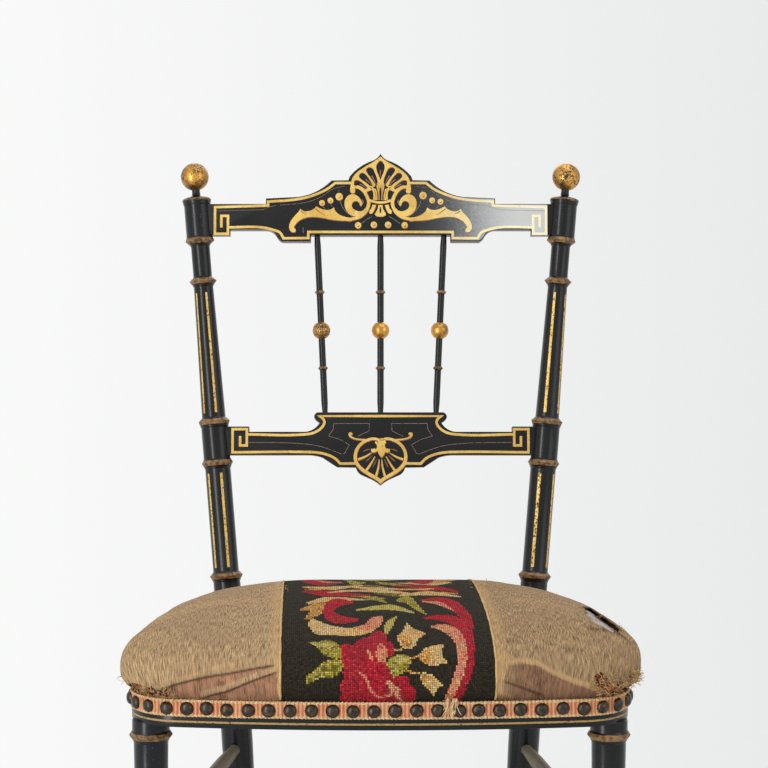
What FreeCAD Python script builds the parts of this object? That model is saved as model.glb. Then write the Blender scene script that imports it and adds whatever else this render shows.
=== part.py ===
import FreeCAD, Part
import math
import os
import re
import Sketcher
from FreeCAD import Placement, Rotation, Vector

# Ebonised side chair with turned posts, a shaped crest rail and a crowned seat.
# Millimetres and degrees. +Z is up and the front of the chair faces -Y.
# The origin is on the floor, under the middle of the chair's bounding box.

SIZES = {
    # seat frame, seen from above, measured from the line of its front corners
    "seat_height": 400,
    "frame_thickness": 25,
    "frame_half_front": 218,
    "frame_half_rear": 167,
    "frame_depth": 378,
    "frame_bow": 20,
    "frame_width": 46,
    "front_corner": 48,
    "rear_corner": 14,
    "inner_corner": 6,
    "rear_rail_width": 35,
    "seat_tenon_radius": 4.5,
    "seat_tenon_root": 32,
    "seat_tenon_depth": 8,
    "dowel_radius": 4,
    "dowel_length": 30,
    "front_rail_return": 62,
    "rebate_height": 12,
    "rebate_depth": 3.2,
    "block_leg": 44,
    "block_height": 18,
    "block_rise": 2,
    # back, measured along the raked posts from the bend at the seat
    "rake": 8.5,
    "splay": 4.8,
    "bend_height": 440,
    "post_inset": 12,
    "post_margin": 15.4,
    "leg_rake": 5,
    "leg_splay": 2.87,
    "seat_radius": 15.6,
    "rear_foot_radius": 10.5,
    "rear_straight": 150,
    "shaft_radius": 12.7,
    "block_radius": 13.4,
    "mid_shaft_low": 11.8,
    "mid_shaft_high": 9.7,
    "top_shaft_radius": 9.4,
    "top_block_radius": 13.1,
    "cap_face_radius": 11,
    "ring_half": 4.2,
    "ring_one_radius": 16.5,
    "ring_two_radius": 15.8,
    "ring_three_radius": 13.7,
    "ring_four_radius": 14.7,
    "seat_flare": 12,
    "ring_one": 25.6,
    "ring_two_gap": 3.2,
    "ring_three_gap": 0.9,
    "ring_four": 320.5,
    "ring_five_gap": 1.5,
    "cap_gap": 0.3,
    "cap_rise": 4.5,
    "neck_radius": 4,
    "pin_radius": 2.6,
    "pin_length": 12,
    "ball_radius": 14,
    "ball_rise": 23.8,
    # rails of the back
    "rail_thickness": 18,
    "rail_setback": 2,
    "crest_base": 360.4,
    "crest_height": 88.8,
    "crest_reach": 170,
    "lower_base": 115.2,
    "lower_height": 73.2,
    "lower_reach": 152,
    "rail_tenon_radius": 5.5,
    "rail_tenon_depth": 7,
    "tenon_root": 30,
    # spindles
    "spindle_radius": 3.3,
    "spindle_end_radius": 2.7,
    "spindle_ring_radius": 5.1,
    "spindle_ring_half": 2.2,
    "spindle_ring_reach": 38.3,
    "spindle_ring_lower": 6.3,
    "spindle_seat_depth": 10,
    "bead_radius": 8.9,
    "bead_station": 271,
    # front legs
    "leg_margin": 23.5,
    "leg_setback": 22,
    "leg_neck_radius": 15.9,
    "leg_ring_radius": 18.5,
    "leg_shaft_radius": 14.7,
    "leg_mid_shaft": 13.8,
    "leg_low_shaft": 12.4,
    "leg_block_ring_radius": 17,
    "leg_ankle_radius": 9.6,
    "leg_ankle_ring_radius": 13,
    "leg_foot_radius": 11.4,
    "leg_toe_radius": 9,
    "leg_ring_drop": 13,
    "leg_block_half": 21,
    "leg_ankle_height": 52,
    "leg_foot_height": 24,
    "leg_tenon_radius": 9.5,
    "leg_tenon_length": 16,
    # stretchers
    "upper_stretcher_height": 290,
    "lower_stretcher_height": 165,
    "cross_stretcher_height": 228,
    "stretcher_radius": 7,
    "stretcher_end_radius": 5.5,
    "stretcher_inset": 6,
    "stretcher_taper": 60,
    "stretcher_end_length": 14,
    "front_bead_radius": 11,
    "front_ring_radius": 9.5,
    "front_ring_reach": 34,
    # seat
    "cover_thickness": 1.3,
    "braid_thickness": 1.5,
    "strap_thickness": 1.2,
    "strap_margin": 10,
    "strap_clearance": 16,
    "strap_gap": 16,
    "strap_gap_along": 18,
    "cloth_thickness": 0.8,
    "crown_height": 60,
    "crown_flat": 100,
    "crown_flat_depth": 71,
    "panel_half": 89,
    "panel_turn": 1.9,
    "nail_radius": 5.4,
    "nail_dome": 2.6,
    "nail_shank_radius": 0.9,
    "nail_shank_length": 9,
    "nail_pitch": 17.5,
    "tack_radius": 3.2,
    "tack_head": 0.8,
    "tack_length": 8,
    # fits
    "glue_gap": 0.06,
    "cloth_gap": 0.3,
    "overrun": 5,
}

# How far the stuffing bulges past the frame, as a share of crown_inset.
bulge_share = 0.072

# Outlines of the rails from the middle outwards, as shares of reach and height.
# A row of four holds an arc's end and a point that the arc passes.
crest_under_shares = [
    (0.413, 0.072), (0.413, 0.0), (0.583, 0.0), (0.614, 0.057, 0.6, 0.022),
    (0.688, 0.137, 0.64, 0.115), (0.891, 0.137), (0.891, 0.075),
]
crest_over_shares = [
    (0.678, 0.426), (0.678, 0.489), (0.49, 0.506), (0.29, 0.694, 0.377, 0.572),
    (0.19, 0.698), (0.183, 0.739), (0.056, 0.915, 0.128, 0.84), (0.0, 1.0, 0.021, 0.95),
]
crest_end_shares = (0.075, 0.426)
lower_under_shares = [
    (0.0, 0.0), (0.061, 0.085, 0.031, 0.05), (0.115, 0.135), (0.162, 0.245, 0.147, 0.18),
    (0.285, 0.25), (0.381, 0.38, 0.33, 0.31), (0.472, 0.415, 0.425, 0.405),
]
lower_over_shares = [
    (0.866, 0.806), (0.866, 0.734), (0.512, 0.734), (0.4, 0.858, 0.437, 0.775),
    (0.436, 0.926, 0.424, 0.889), (0.411, 1.0, 0.431, 0.974),
]
lower_end_shares = (0.413, 0.806)

# Where the rails' tenons and the spindles meet the rails, as shares of height and of reach.
crest_tenon_share = 0.25
lower_tenon_share = 0.61
spindle_high_share = 0.375
spindle_low_share = 0.366

# Places worked out from the sizes, in the same words.
DERIVED = {
    "crown_inset": "min(frame_half_front - crown_flat; frame_depth / 2 - crown_flat_depth)",
    "bend_half": "frame_half_rear - post_margin",
    "bend_depth": "frame_depth - post_inset",
    "leg_half": "frame_half_front - leg_margin",
    "crest_tenon_station": f"crest_base + {crest_tenon_share} * crest_height",
    "lower_tenon_station": f"lower_base + {lower_tenon_share} * lower_height",
    "spindle_low": "lower_base + lower_height",
    "spindle_high": f"crest_base + {crest_under_shares[0][1]} * crest_height",
    "spindle_low_half": f"{spindle_low_share} * lower_reach",
    "spindle_high_half": f"{spindle_high_share} * crest_reach",
    "ring_two": f"lower_base + {lower_end_shares[0]} * lower_height - ring_half - ring_two_gap",
    "ring_three": f"lower_base + {lower_end_shares[1]} * lower_height + ring_half + ring_three_gap",
    "ring_five": f"crest_base + {crest_end_shares[0]} * crest_height - ring_half - ring_five_gap",
    "cap": f"crest_base + {crest_end_shares[1]} * crest_height + ring_half + cap_gap",
    "ball_station": "cap + ball_rise",
    "strap_pitch_across": "(bend_half - seat_radius - strap_clearance + strap_gap / 2) / 2",
    "strap_width": "strap_pitch_across - strap_gap",
    "strap_pitch_along": "strap_width + strap_gap_along",
    "front_edge": f"-frame_bow - {bulge_share} * crown_inset",
    "rear_edge": "bend_depth + ball_station * sin(rake) + ball_radius",
    "front_line": "-(front_edge + rear_edge) / 2",
    "frame_top": "seat_height + frame_thickness",
    "neck_base": "cap + cap_rise",
    "rear_leg_run": "bend_height * sqrt(1 + tan(leg_splay) ^ 2 + tan(leg_rake) ^ 2)",
    "post_front": "bend_depth - seat_radius",
}

doc = FreeCAD.newDocument("side_chair")
sheet = doc.addObject("Spreadsheet::Sheet", "sizes")
for row, (alias, number) in enumerate(SIZES.items(), start=1):
    sheet.set(f"A{row}", alias)
    sheet.set(f"B{row}", str(number))
    sheet.setAlias(f"B{row}", alias)
doc.recompute()


def bound(text):
    """An expression in the sheet's words, as FreeCAD reads it."""
    def word(found):
        name = found.group()
        if name in DERIVED:
            return "(" + bound(DERIVED[name]) + ")"
        return "sizes." + name if name in SIZES else name
    return re.sub(r"[a-z][a-z_]*", word, str(text))


def value(text):
    answer = sheet.evalExpression(bound(text))
    return float(getattr(answer, "Value", answer))


def bind(thing, **properties):
    for name, text in properties.items():
        thing.setExpression(name, bound(text))


kept = {}


def keep(thing, label):
    thing.Label = label
    kept[label] = thing
    return thing


def origin_plane(body, role):
    return [plane for plane in body.Origin.OriginFeatures if plane.Role == role][0]


def pin_point(sketch, geometry, end, across, up):
    """Hold one point of a sketch at two expressions."""
    for kind, axis, text in (("DistanceX", -2, across), ("DistanceY", -1, up)):
        number = value(text)
        if abs(number) < 1e-9:
            sketch.addConstraint(Sketcher.Constraint("PointOnObject", geometry, end, axis))
            continue
        held = sketch.addConstraint(Sketcher.Constraint(kind, -1, 1, geometry, end, number))
        sketch.setExpression(f"Constraints[{held}]", bound(text))


def outline_sketch(body, name, points, role="XZ_Plane"):
    """A closed sketch. A point is (x, y), or (x, y, via x, via y) where an arc leads to it."""
    sketch = body.newObject("Sketcher::SketchObject", name)
    sketch.AttachmentSupport = [(origin_plane(body, role), "")]
    sketch.MapMode = "FlatFace"
    ends = []
    for point, after in zip(points, points[1:] + points[:1]):
        start = Vector(value(point[0]), value(point[1]), 0)
        stop = Vector(value(after[0]), value(after[1]), 0)
        if len(after) == 2:
            edge = sketch.addGeometry(Part.LineSegment(start, stop))
            ends.append((edge, 1, 2))
            continue
        via = Vector(value(after[2]), value(after[3]), 0)
        # a sketch counts the ends of an arc anticlockwise
        forward = (via - start).cross(stop - via).z > 0
        arc = Part.Arc(start, via, stop) if forward else Part.Arc(stop, via, start)
        edge = sketch.addGeometry(arc)
        ends.append((edge, 1, 2) if forward else (edge, 2, 1))
        mark = sketch.addGeometry(Part.Point(via), True)
        sketch.addConstraint(Sketcher.Constraint("PointOnObject", mark, 1, edge))
        pin_point(sketch, mark, 1, after[2], after[3])
    for (edge, first, last), (following, begin, _) in zip(ends, ends[1:] + ends[:1]):
        sketch.addConstraint(Sketcher.Constraint("Coincident", edge, last, following, begin))
    for (edge, first, _), point in zip(ends, points):
        pin_point(sketch, edge, first, point[0], point[1])
    return sketch


def turned(name, profile):
    """A lathe-turned body about its own Z axis, from (radius, height) pairs."""
    body = doc.addObject("PartDesign::Body", name)
    sketch = outline_sketch(body, name + "_profile", profile)
    turning = body.newObject("PartDesign::Revolution", name + "_turning")
    turning.Profile = sketch
    turning.ReferenceAxis = (sketch, ["V_Axis"])
    turning.Angle = 360
    return body


def ring(height, radius, below, above):
    """A sharp V ring between two shafts."""
    return [
        (below, f"({height}) - ring_half"),
        (radius, f"({height})"),
        (above, f"({height}) + ring_half"),
    ]


def along(start, stop):
    """The placement whose Z axis runs from one point to another."""
    return Placement(start, Rotation(Vector(0, 0, 1), stop - start))


def rod(name, start, stop, radius):
    cylinder = doc.addObject("Part::Cylinder", name)
    cylinder.Placement = along(start, stop)
    cylinder.Height = (stop - start).Length
    bind(cylinder, Radius=radius)
    return cylinder


def joined(name, pieces):
    fused = doc.addObject("Part::MultiFuse", name)
    fused.Shapes = pieces
    return fused


def bored(name, base, tools):
    cut = doc.addObject("Part::Cut", name)
    cut.Base = base
    cut.Tool = tools[0] if len(tools) == 1 else joined(name + "_tools", tools)
    return cut


SIDES = (("left", -1), ("right", 1))
front_line = value("front_line")
bend_depth = value("bend_depth")
glue_gap = value("glue_gap")
overrun = value("overrun")
back = Placement(
    Vector(0, value("front_line + bend_depth"), value("bend_height")),
    Rotation(Vector(1, 0, 0), -value("rake")),
)


def back_point(half, station, behind=0.0):
    """A point given across, behind and along the raked plane of the back."""
    return back.multVec(Vector(half, behind, station))


def post_half(station):
    return value(f"bend_half + ({station}) * tan(splay)")


def leg_point(side, height):
    """A point on a rear leg's axis, below the bend."""
    drop = value("bend_height") - height
    across = value("bend_half") - drop * value("tan(leg_splay)")
    return Vector(side * across, front_line + bend_depth + drop * value("tan(leg_rake)"), height)


def front_leg_point(side, height):
    return Vector(side * value("leg_half"), front_line + value("leg_setback"), height)


def stretcher_ends(first, last):
    """Where a stretcher starts and stops inside its two legs."""
    step = (last - first).normalize() * value("stretcher_inset")
    return first + step, last - step


def socket(name, leg, towards, radius):
    """The hole that a round end fits, from a leg's axis towards the other leg."""
    step = (towards - leg).normalize()
    start = leg + step * value("stretcher_inset - glue_gap")
    return rod(name, start, leg + step * value("leg_ring_radius + overrun"), f"{radius} + glue_gap")


# Every stretcher: name, its first and last point on the axes of the legs.
upper = value("upper_stretcher_height")
lower = value("lower_stretcher_height")
cross = value("cross_stretcher_height")
stretchers = {}
for word, side in SIDES:
    for level, height in (("upper", upper), ("lower", lower)):
        ends = (front_leg_point(side, height), leg_point(side, height))
        stretchers[f"side_stretcher_{level}_{word}"] = ends
stretchers["front_stretcher"] = (front_leg_point(-1, cross), front_leg_point(1, cross))
stretchers["rear_stretcher"] = (leg_point(-1, cross), leg_point(1, cross))


def leg_sockets(label, axis_point):
    """Holes for every stretcher that starts or stops on one leg."""
    tools = []
    for name, (first, last) in stretchers.items():
        for here, there in ((first, last), (last, first)):
            if here.distanceToPoint(axis_point(here.z)) < glue_gap:
                tools.append(socket(f"{label}_for_{name}", here, there, "stretcher_end_radius"))
    return tools


def station(text):
    """A height on the back plane, as a length along the splayed post."""
    return f"({text}) / cos(splay)"


POST_RINGS = (
    ("ring_one", "ring_one_radius", "block_radius", "shaft_radius"),
    ("ring_two", "ring_two_radius", "shaft_radius", "block_radius"),
    ("ring_three", "ring_two_radius", "block_radius", "mid_shaft_low"),
    ("ring_four", "ring_three_radius", "mid_shaft_high", "top_shaft_radius"),
    ("ring_five", "ring_four_radius", "top_shaft_radius", "top_block_radius"),
)
BALL_SEAT = "ball_station - sqrt(ball_radius ^ 2 - neck_radius ^ 2)"


def post_profile():
    points = [("0", "0"), ("seat_radius", "0"), ("block_radius", "seat_flare")]
    for height, radius, below, above in POST_RINGS:
        points += ring(station(height), radius, below, above)
    points += [
        ("top_block_radius", station("cap") + " - ring_half"),
        ("ring_four_radius", station("cap")),
        ("cap_face_radius", station("cap + cap_rise / 2")),
        ("neck_radius", station("neck_base")),
        ("neck_radius", station(BALL_SEAT)),
        ("pin_radius", station(BALL_SEAT)),
        ("pin_radius", station(BALL_SEAT) + " + pin_length"),
        ("0", station(BALL_SEAT) + " + pin_length"),
    ]
    return points


def rail_tenon(side, height, block):
    """The axis of a back rail's round tenon, from inside the rail to its tip in the post."""
    half = post_half(height)
    tip = half - value(f"{block} - rail_tenon_depth")
    start = back_point(side * (half - value("tenon_root")), value(height))
    return start, back_point(side * tip, value(height))


def rail_tenons(side):
    return {
        "crest": rail_tenon(side, "crest_tenon_station", "top_block_radius"),
        "lower": rail_tenon(side, "lower_tenon_station", "block_radius"),
    }


def seat_tenons(side):
    """The axes of the side rail's and the rear rail's tenons in a rear leg."""
    middle = value("seat_height + rebate_height")
    axis = leg_point(side, middle)
    outer = axis + Vector(side * value("seat_radius / 2"), 0, 0)
    ahead = Vector(0, -value("seat_tenon_root"), 0)
    short = Vector(0, -value("seat_tenon_radius + glue_gap"), 0)
    inner = Vector(-side * value("seat_tenon_root"), 0, 0)
    stop = Vector(-side * value("seat_radius - seat_tenon_depth"), 0, 0)
    return {"side": (outer + ahead, outer + short), "rear": (axis + inner, axis + stop)}


def rear_post(word, side):
    name = f"rear_post_{word}"
    head = turned(name + "_head", post_profile())
    tilt = Rotation(Vector(0, 1, 0), side * value("splay"))
    bend = leg_point(side, value("bend_height"))
    head.Placement = Placement(bend, back.Rotation.multiply(tilt))
    foot = turned(name + "_foot", [
        ("0", "0"),
        ("seat_radius", "0"),
        ("seat_radius", "rear_straight"),
        ("rear_foot_radius", "rear_leg_run + overrun"),
        ("0", "rear_leg_run + overrun"),
    ])
    foot.Placement = along(bend, leg_point(side, 0))
    knuckle = doc.addObject("Part::Sphere", name + "_bend")
    bind(knuckle, Radius="seat_radius")
    knuckle.Placement.Base = bend
    floor = doc.addObject("Part::Box", name + "_floor")
    bind(floor, Length="bend_half", Width="bend_half", Height="2 * overrun + seat_radius")
    sole = leg_point(side, 0)
    half = value("bend_half") / 2
    floor.Placement.Base = sole - Vector(half, half, value("2 * overrun + seat_radius"))
    tools = [floor] + leg_sockets(name, lambda height: leg_point(side, height))
    for rail, (start, tip) in rail_tenons(side).items():
        deeper = tip + (tip - start).normalize() * glue_gap
        tools.append(rod(f"{name}_{rail}_mortise", start, deeper, "rail_tenon_radius + glue_gap"))
    for rail, (start, tip) in seat_tenons(side).items():
        deeper = tip + (tip - start).normalize() * glue_gap
        tools.append(rod(f"{name}_{rail}_mortise", start, deeper, "seat_tenon_radius + glue_gap"))
    keep(bored(name + "_cut", joined(name + "_whole", [head, foot, knuckle]), tools), name)


def finial(word, side):
    """A ball glued on the turned pin at the top of the post."""
    name = f"finial_ball_{word}"
    frame = Placement(leg_point(side, value("bend_height")), back.Rotation.multiply(
        Rotation(Vector(0, 1, 0), side * value("splay"))))
    ball = doc.addObject("Part::Sphere", name + "_ball")
    bind(ball, Radius="ball_radius")
    ball.Placement = frame.multiply(Placement(Vector(0, 0, value(station("ball_station"))), Rotation()))
    seat = frame.multVec(Vector(0, 0, value(station(BALL_SEAT))))
    under = frame.multVec(Vector(0, 0, value(station("cap"))))
    tip = frame.multVec(Vector(0, 0, value(station(BALL_SEAT) + " + pin_length + glue_gap")))
    neck = rod(name + "_seat", under, seat, "ball_radius")
    pin = rod(name + "_bore", under, tip, "pin_radius + glue_gap")
    keep(bored(name + "_cut", ball, [neck, pin]), name)


def shared(row, rail):
    """One row of shares as expressions in the rail's own sizes."""
    texts = []
    for across, up in zip(row[::2], row[1::2]):
        texts += [f"{across} * {rail}_reach", f"{rail}_base + {up} * {rail}_height"]
    return tuple(texts)


def flipped(texts):
    return tuple(f"-({text})" if place % 2 == 0 else text for place, text in enumerate(texts))


def whole_outline(half):
    """Both halves of an outline whose right half runs from the bottom to the top."""
    left = []
    for row, after in zip(half, half[1:] + [()]):
        if abs(value(row[0])) > glue_gap:
            left.append(flipped(row[:2] + after[2:]))
    start = half[0]
    if abs(value(start[0])) < glue_gap:
        start = start + flipped(half[1][2:])
    return [start] + half[1:] + left[::-1]


def rail_outline(rail, under, over, end_shares):
    half = [shared(row, rail) for row in under]
    for share in end_shares:
        height = f"{rail}_base + {share} * {rail}_height"
        half.append((f"bend_half + ({height}) * tan(splay)", height))
    half += [shared(row, rail) for row in over]
    return whole_outline(half)


def spindle_line(side):
    """The ends of a spindle's axis on the back plane: across and along."""
    low = back_point(side * value("spindle_low_half"), value("spindle_low"), 0)
    high = back_point(side * value("spindle_high_half"), value("spindle_high"), 0)
    step = (high - low).normalize() * value("spindle_seat_depth")
    return low - step, high + step


SPINDLES = (("left", -1), ("centre", 0), ("right", 1))


def back_rail(label, rail, outline, block):
    """A sawn rail with a round tenon at each end, coped to the turned posts."""
    plate = doc.addObject("PartDesign::Body", label + "_plate")
    sketch = outline_sketch(plate, label + "_outline", outline)
    pad = plate.newObject("PartDesign::Pad", label + "_pad")
    pad.Profile = sketch
    bind(pad, Length="rail_thickness")
    pad.Midplane = True
    plate.Placement = back.multiply(Placement(Vector(0, value("rail_setback"), 0), Rotation()))
    tools = []
    tenons = []
    for word, side in SIDES:
        bend = leg_point(side, value("bend_height"))
        top = back_point(side * post_half("cap"), value("cap"))
        tools.append(rod(f"{label}_cope_{word}", bend, top, f"{block} + glue_gap"))
        start, tip = rail_tenons(side)[rail]
        tenons.append(rod(f"{label}_tenon_{word}", start, tip, "rail_tenon_radius"))
    for word, side in SPINDLES:
        low, high = spindle_line(side)
        step = (high - low).normalize() * glue_gap
        hole = rod(f"{label}_hole_{word}", low - step, high + step, "spindle_end_radius + glue_gap")
        tools.append(hole)
    coped = bored(label + "_coped", plate, tools)
    keep(joined(label + "_whole", [coped] + tenons), label)


def spindle_profile(length):
    points = [
        ("0", "0"),
        ("spindle_end_radius", "0"),
        ("spindle_end_radius", "spindle_seat_depth"),
        ("spindle_radius", "2 * spindle_seat_depth"),
    ]
    middle = f"({length} / 2 - spindle_ring_lower)"
    for way in (-1, 1):
        height = f"{middle} + {way} * spindle_ring_reach"
        points += [
            ("spindle_radius", f"{height} - spindle_ring_half"),
            ("spindle_ring_radius", height),
            ("spindle_radius", f"{height} + spindle_ring_half"),
        ]
    points += [
        ("spindle_radius", f"{length} - 2 * spindle_seat_depth"),
        ("spindle_end_radius", f"{length} - spindle_seat_depth"),
        ("spindle_end_radius", f"{length}"),
        ("0", f"{length}"),
    ]
    return points


def spindle_and_bead(word, side):
    low, high = spindle_line(side)
    length = "(spindle_high - spindle_low + 2 * spindle_seat_depth)"
    if side:
        length = "(sqrt((spindle_high - spindle_low) ^ 2"
        length += " + (spindle_high_half - spindle_low_half) ^ 2) + 2 * spindle_seat_depth)"
    body = turned(f"spindle_{word}_stick", spindle_profile(length))
    body.Placement = along(low, high)
    keep(body, f"spindle_{word}")
    name = f"spindle_bead_{word}"
    ball = doc.addObject("Part::Sphere", name + "_ball")
    bind(ball, Radius="bead_radius")
    share = value("(bead_station - spindle_low) / (spindle_high - spindle_low)")
    ends = [back_point(side * value("spindle_low_half"), value("spindle_low")),
            back_point(side * value("spindle_high_half"), value("spindle_high"))]
    ball.Placement.Base = ends[0] + (ends[1] - ends[0]) * share
    keep(bored(name + "_cut", ball, [rod(name + "_bore", low, high, "spindle_radius + glue_gap")]), name)


def front_leg(word, side):
    name = f"front_leg_{word}"
    points = [
        ("0", "0"),
        ("leg_toe_radius", "0"),
        ("leg_foot_radius", "leg_foot_height"),
    ]
    points += ring("leg_ankle_height", "leg_ankle_ring_radius", "leg_ankle_radius", "leg_ankle_radius")
    levels = (("lower_stretcher_height", "leg_low_shaft"), ("upper_stretcher_height", "leg_mid_shaft"))
    for height, shaft in levels:
        below = f"{height} - leg_block_half"
        above = f"{height} + leg_block_half"
        points += ring(below, "leg_block_ring_radius", shaft, shaft)
        points += ring(above, "leg_block_ring_radius", shaft, shaft)
    points += ring("seat_height - leg_ring_drop", "leg_ring_radius", "leg_shaft_radius", "leg_neck_radius")
    points += [
        ("leg_neck_radius", "seat_height"),
        ("leg_tenon_radius", "seat_height"),
        ("leg_tenon_radius", "seat_height + leg_tenon_length"),
        ("0", "seat_height + leg_tenon_length"),
    ]
    stick = turned(name + "_stick", points)
    stick.Placement.Base = front_leg_point(side, 0)
    tools = leg_sockets(name, lambda height: front_leg_point(side, height))
    keep(bored(name + "_cut", stick, tools), name)


def stretcher(name, ends):
    """A round stretcher with tapered ends. The front one has rings about a bead."""
    start, stop = stretcher_ends(*ends)
    length = (stop - start).Length
    points = [
        ("0", "0"),
        ("stretcher_end_radius", "0"),
        ("stretcher_end_radius", "stretcher_end_length"),
        ("stretcher_radius", "stretcher_taper"),
    ]
    if name == "front_stretcher":
        for reach, radius in ((-1, "front_ring_radius"), (0, "front_bead_radius"), (1, "front_ring_radius")):
            height = f"{length} / 2 + {reach} * front_ring_reach"
            points += ring(height, radius, "stretcher_radius", "stretcher_radius")
    points += [
        ("stretcher_radius", f"{length} - stretcher_taper"),
        ("stretcher_end_radius", f"{length} - stretcher_end_length"),
        ("stretcher_end_radius", f"{length}"),
        ("0", f"{length}"),
    ]
    body = turned(name + "_stick", points)
    body.Placement = along(start, stop)
    keep(body, name)


def corner_edges(inset, corner, rear_corner, rear_inset):
    """The right half of the seat's outline, from the front middle to the rear middle."""
    half, depth, bow = value("frame_half_front"), value("frame_depth"), value("frame_bow")
    lean = (half - value("frame_half_rear")) / depth
    stretch = math.sqrt(1 + lean ** 2)
    sweep = (half ** 2 + bow ** 2) / (2 * bow)
    centre = sweep - bow
    sweep -= inset

    def side_line(y, more):
        return half - lean * y - (inset + more) * stretch

    # the front corner's centre lies on the inset side line and inside the bow
    start = half - (inset + corner) * stretch
    turn = start * lean + centre
    rest = start ** 2 + centre ** 2 - (sweep - corner) ** 2
    corner_y = (turn - math.sqrt(turn ** 2 - (1 + lean ** 2) * rest)) / (1 + lean ** 2)
    corner_x = side_line(corner_y, corner)
    facing = math.atan2(corner_y - centre, corner_x)
    outward = math.atan(lean)
    rear_y = depth - rear_inset - rear_corner
    rear_x = side_line(rear_y, rear_corner)

    def on_circle(x, y, radius, angle):
        return Vector(x + radius * math.cos(angle), front_line + y + radius * math.sin(angle), 0)

    down = -math.pi / 2
    up = math.pi / 2
    bow_end = on_circle(0, centre, sweep, facing)
    side_start = on_circle(corner_x, corner_y, corner, outward)
    side_stop = on_circle(rear_x, rear_y, rear_corner, outward)
    rear_end = on_circle(rear_x, rear_y, rear_corner, up)
    return [
        Part.Arc(on_circle(0, centre, sweep, down), on_circle(0, centre, sweep, (down + facing) / 2),
                 bow_end).toShape(),
        Part.Arc(bow_end, on_circle(corner_x, corner_y, corner, (facing + outward) / 2),
                 side_start).toShape(),
        Part.LineSegment(side_start, side_stop).toShape(),
        Part.Arc(side_stop, on_circle(rear_x, rear_y, rear_corner, (outward + up) / 2),
                 rear_end).toShape(),
        Part.LineSegment(rear_end, Vector(0, rear_end.y, 0)).toShape(),
    ]


def seat_wire(height, inset, corner=None, rear_corner=None, rear_inset=None):
    corner = value("front_corner") if corner is None else corner
    rear_corner = value("rear_corner") if rear_corner is None else rear_corner
    rear_inset = inset if rear_inset is None else rear_inset
    right = corner_edges(inset, corner, rear_corner, rear_inset)
    left = [edge.mirror(Vector(0, 0, 0), Vector(1, 0, 0)) for edge in right]
    wire = Part.Wire(Part.__sortEdges__(right + left))
    wire.translate(Vector(0, 0, height))
    return wire


def slab(low, high, inset, **corners):
    face = Part.Face(seat_wire(low, inset, **corners))
    return face.extrude(Vector(0, 0, high - low))


def region(left, front, low, right, rear, high):
    """A box in the seat's own places: y is counted from the line of the front corners."""
    corner = Vector(left, front_line + front, low)
    return Part.makeBox(right - left, rear - front, high - low, corner)


def peg(start, stop, radius):
    return Part.makeCylinder(radius, (stop - start).Length, start, stop - start)


def post_room(gap):
    """The space that both posts take where they pass the seat."""
    room = []
    for _, side in SIDES:
        bend = leg_point(side, value("bend_height"))
        up = back_point(side * post_half("ring_two"), value("ring_two"))
        radius = value("seat_radius") + gap
        room.append(peg(bend, up, radius))
        room.append(peg(bend, leg_point(side, value("upper_stretcher_height")), radius))
        room.append(Part.makeSphere(radius, bend))
    return room[0].multiFuse(room[1:])


def carved(label, shape):
    feature = doc.addObject("Part::Feature", label)
    feature.Shape = shape
    return keep(feature, label)


def frame_ring():
    """The whole seat frame: a ledge below, a rebate above for the cover and the braid."""
    low, top = value("seat_height"), value("frame_top")
    ledge = low + value("rebate_height")
    narrow = value("front_corner - rebate_depth")
    outer = slab(low, ledge, 0).fuse(slab(ledge, top, value("rebate_depth"), corner=narrow))
    inner = value("inner_corner")
    opening = slab(low - overrun, top + overrun, value("frame_width"), corner=inner,
                   rear_corner=inner, rear_inset=value("rear_rail_width"))
    return outer.cut(opening).removeSplitter()


def dowel_axes(side):
    """Two dowels across the joint of the front rail and a side rail."""
    joint = value("front_rail_return")
    half = value("dowel_length / 2")
    middle = value("seat_height + rebate_height")
    edge = value("frame_half_front - front_rail_return * (frame_half_front - frame_half_rear) / frame_depth")
    axes = []
    for share in dowel_shares:
        across = side * (edge - share * value("frame_width"))
        start = Vector(across, front_line + joint - half, middle)
        axes.append((start, start + Vector(0, 2 * half, 0)))
    return axes


dowel_shares = (0.3, 0.72)


def seat_frame():
    low, top = value("seat_height") - overrun, value("frame_top") + overrun
    joint = value("front_rail_return")
    wide = value("frame_half_front") + overrun
    deep = value("frame_depth") + overrun
    bend_half = value("bend_half")
    rear_face = value("frame_depth - rear_rail_width")
    whole = frame_ring().cut(post_room(glue_gap))
    dowel_holes = []
    for _, side in SIDES:
        for start, stop in dowel_axes(side):
            gap = Vector(0, glue_gap, 0)
            dowel_holes.append(peg(start - gap, stop + gap, value("dowel_radius + glue_gap")))
    leg_holes = []
    for _, side in SIDES:
        base = front_leg_point(side, value("seat_height") - overrun)
        tip = front_leg_point(side, value("seat_height + leg_tenon_length + glue_gap"))
        leg_holes.append(peg(base, tip, value("leg_tenon_radius + glue_gap")))
    front = whole.common(region(-wide, -wide, low, wide, joint - glue_gap, top))
    carved("seat_front_rail", front.cut(dowel_holes + leg_holes))
    rear = whole.common(region(-bend_half, rear_face, low, bend_half, deep, top))
    pins = [peg(*seat_tenons(side)["rear"], value("seat_tenon_radius")) for _, side in SIDES]
    carved("seat_rear_rail", rear.multiFuse(pins))
    for word, side in SIDES:
        near, far = sorted((0, side * wide))
        rail = whole.common(region(near, joint, low, far, deep, top))
        blocked = region(-bend_half - glue_gap, rear_face - glue_gap, low, bend_half + glue_gap, deep, top)
        rail = rail.cut(dowel_holes + [blocked])
        behind = region(-wide, bend_depth, low, wide, deep + wide, top)
        rail = rail.cut(behind)
        pin = peg(*seat_tenons(side)["side"], value("seat_tenon_radius"))
        carved(f"seat_side_rail_{word}", rail.fuse(pin))
    pegs = [peg(start, stop, value("dowel_radius")) for _, side in SIDES for start, stop in dowel_axes(side)]
    carved("frame_dowels", Part.makeCompound(pegs))


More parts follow.
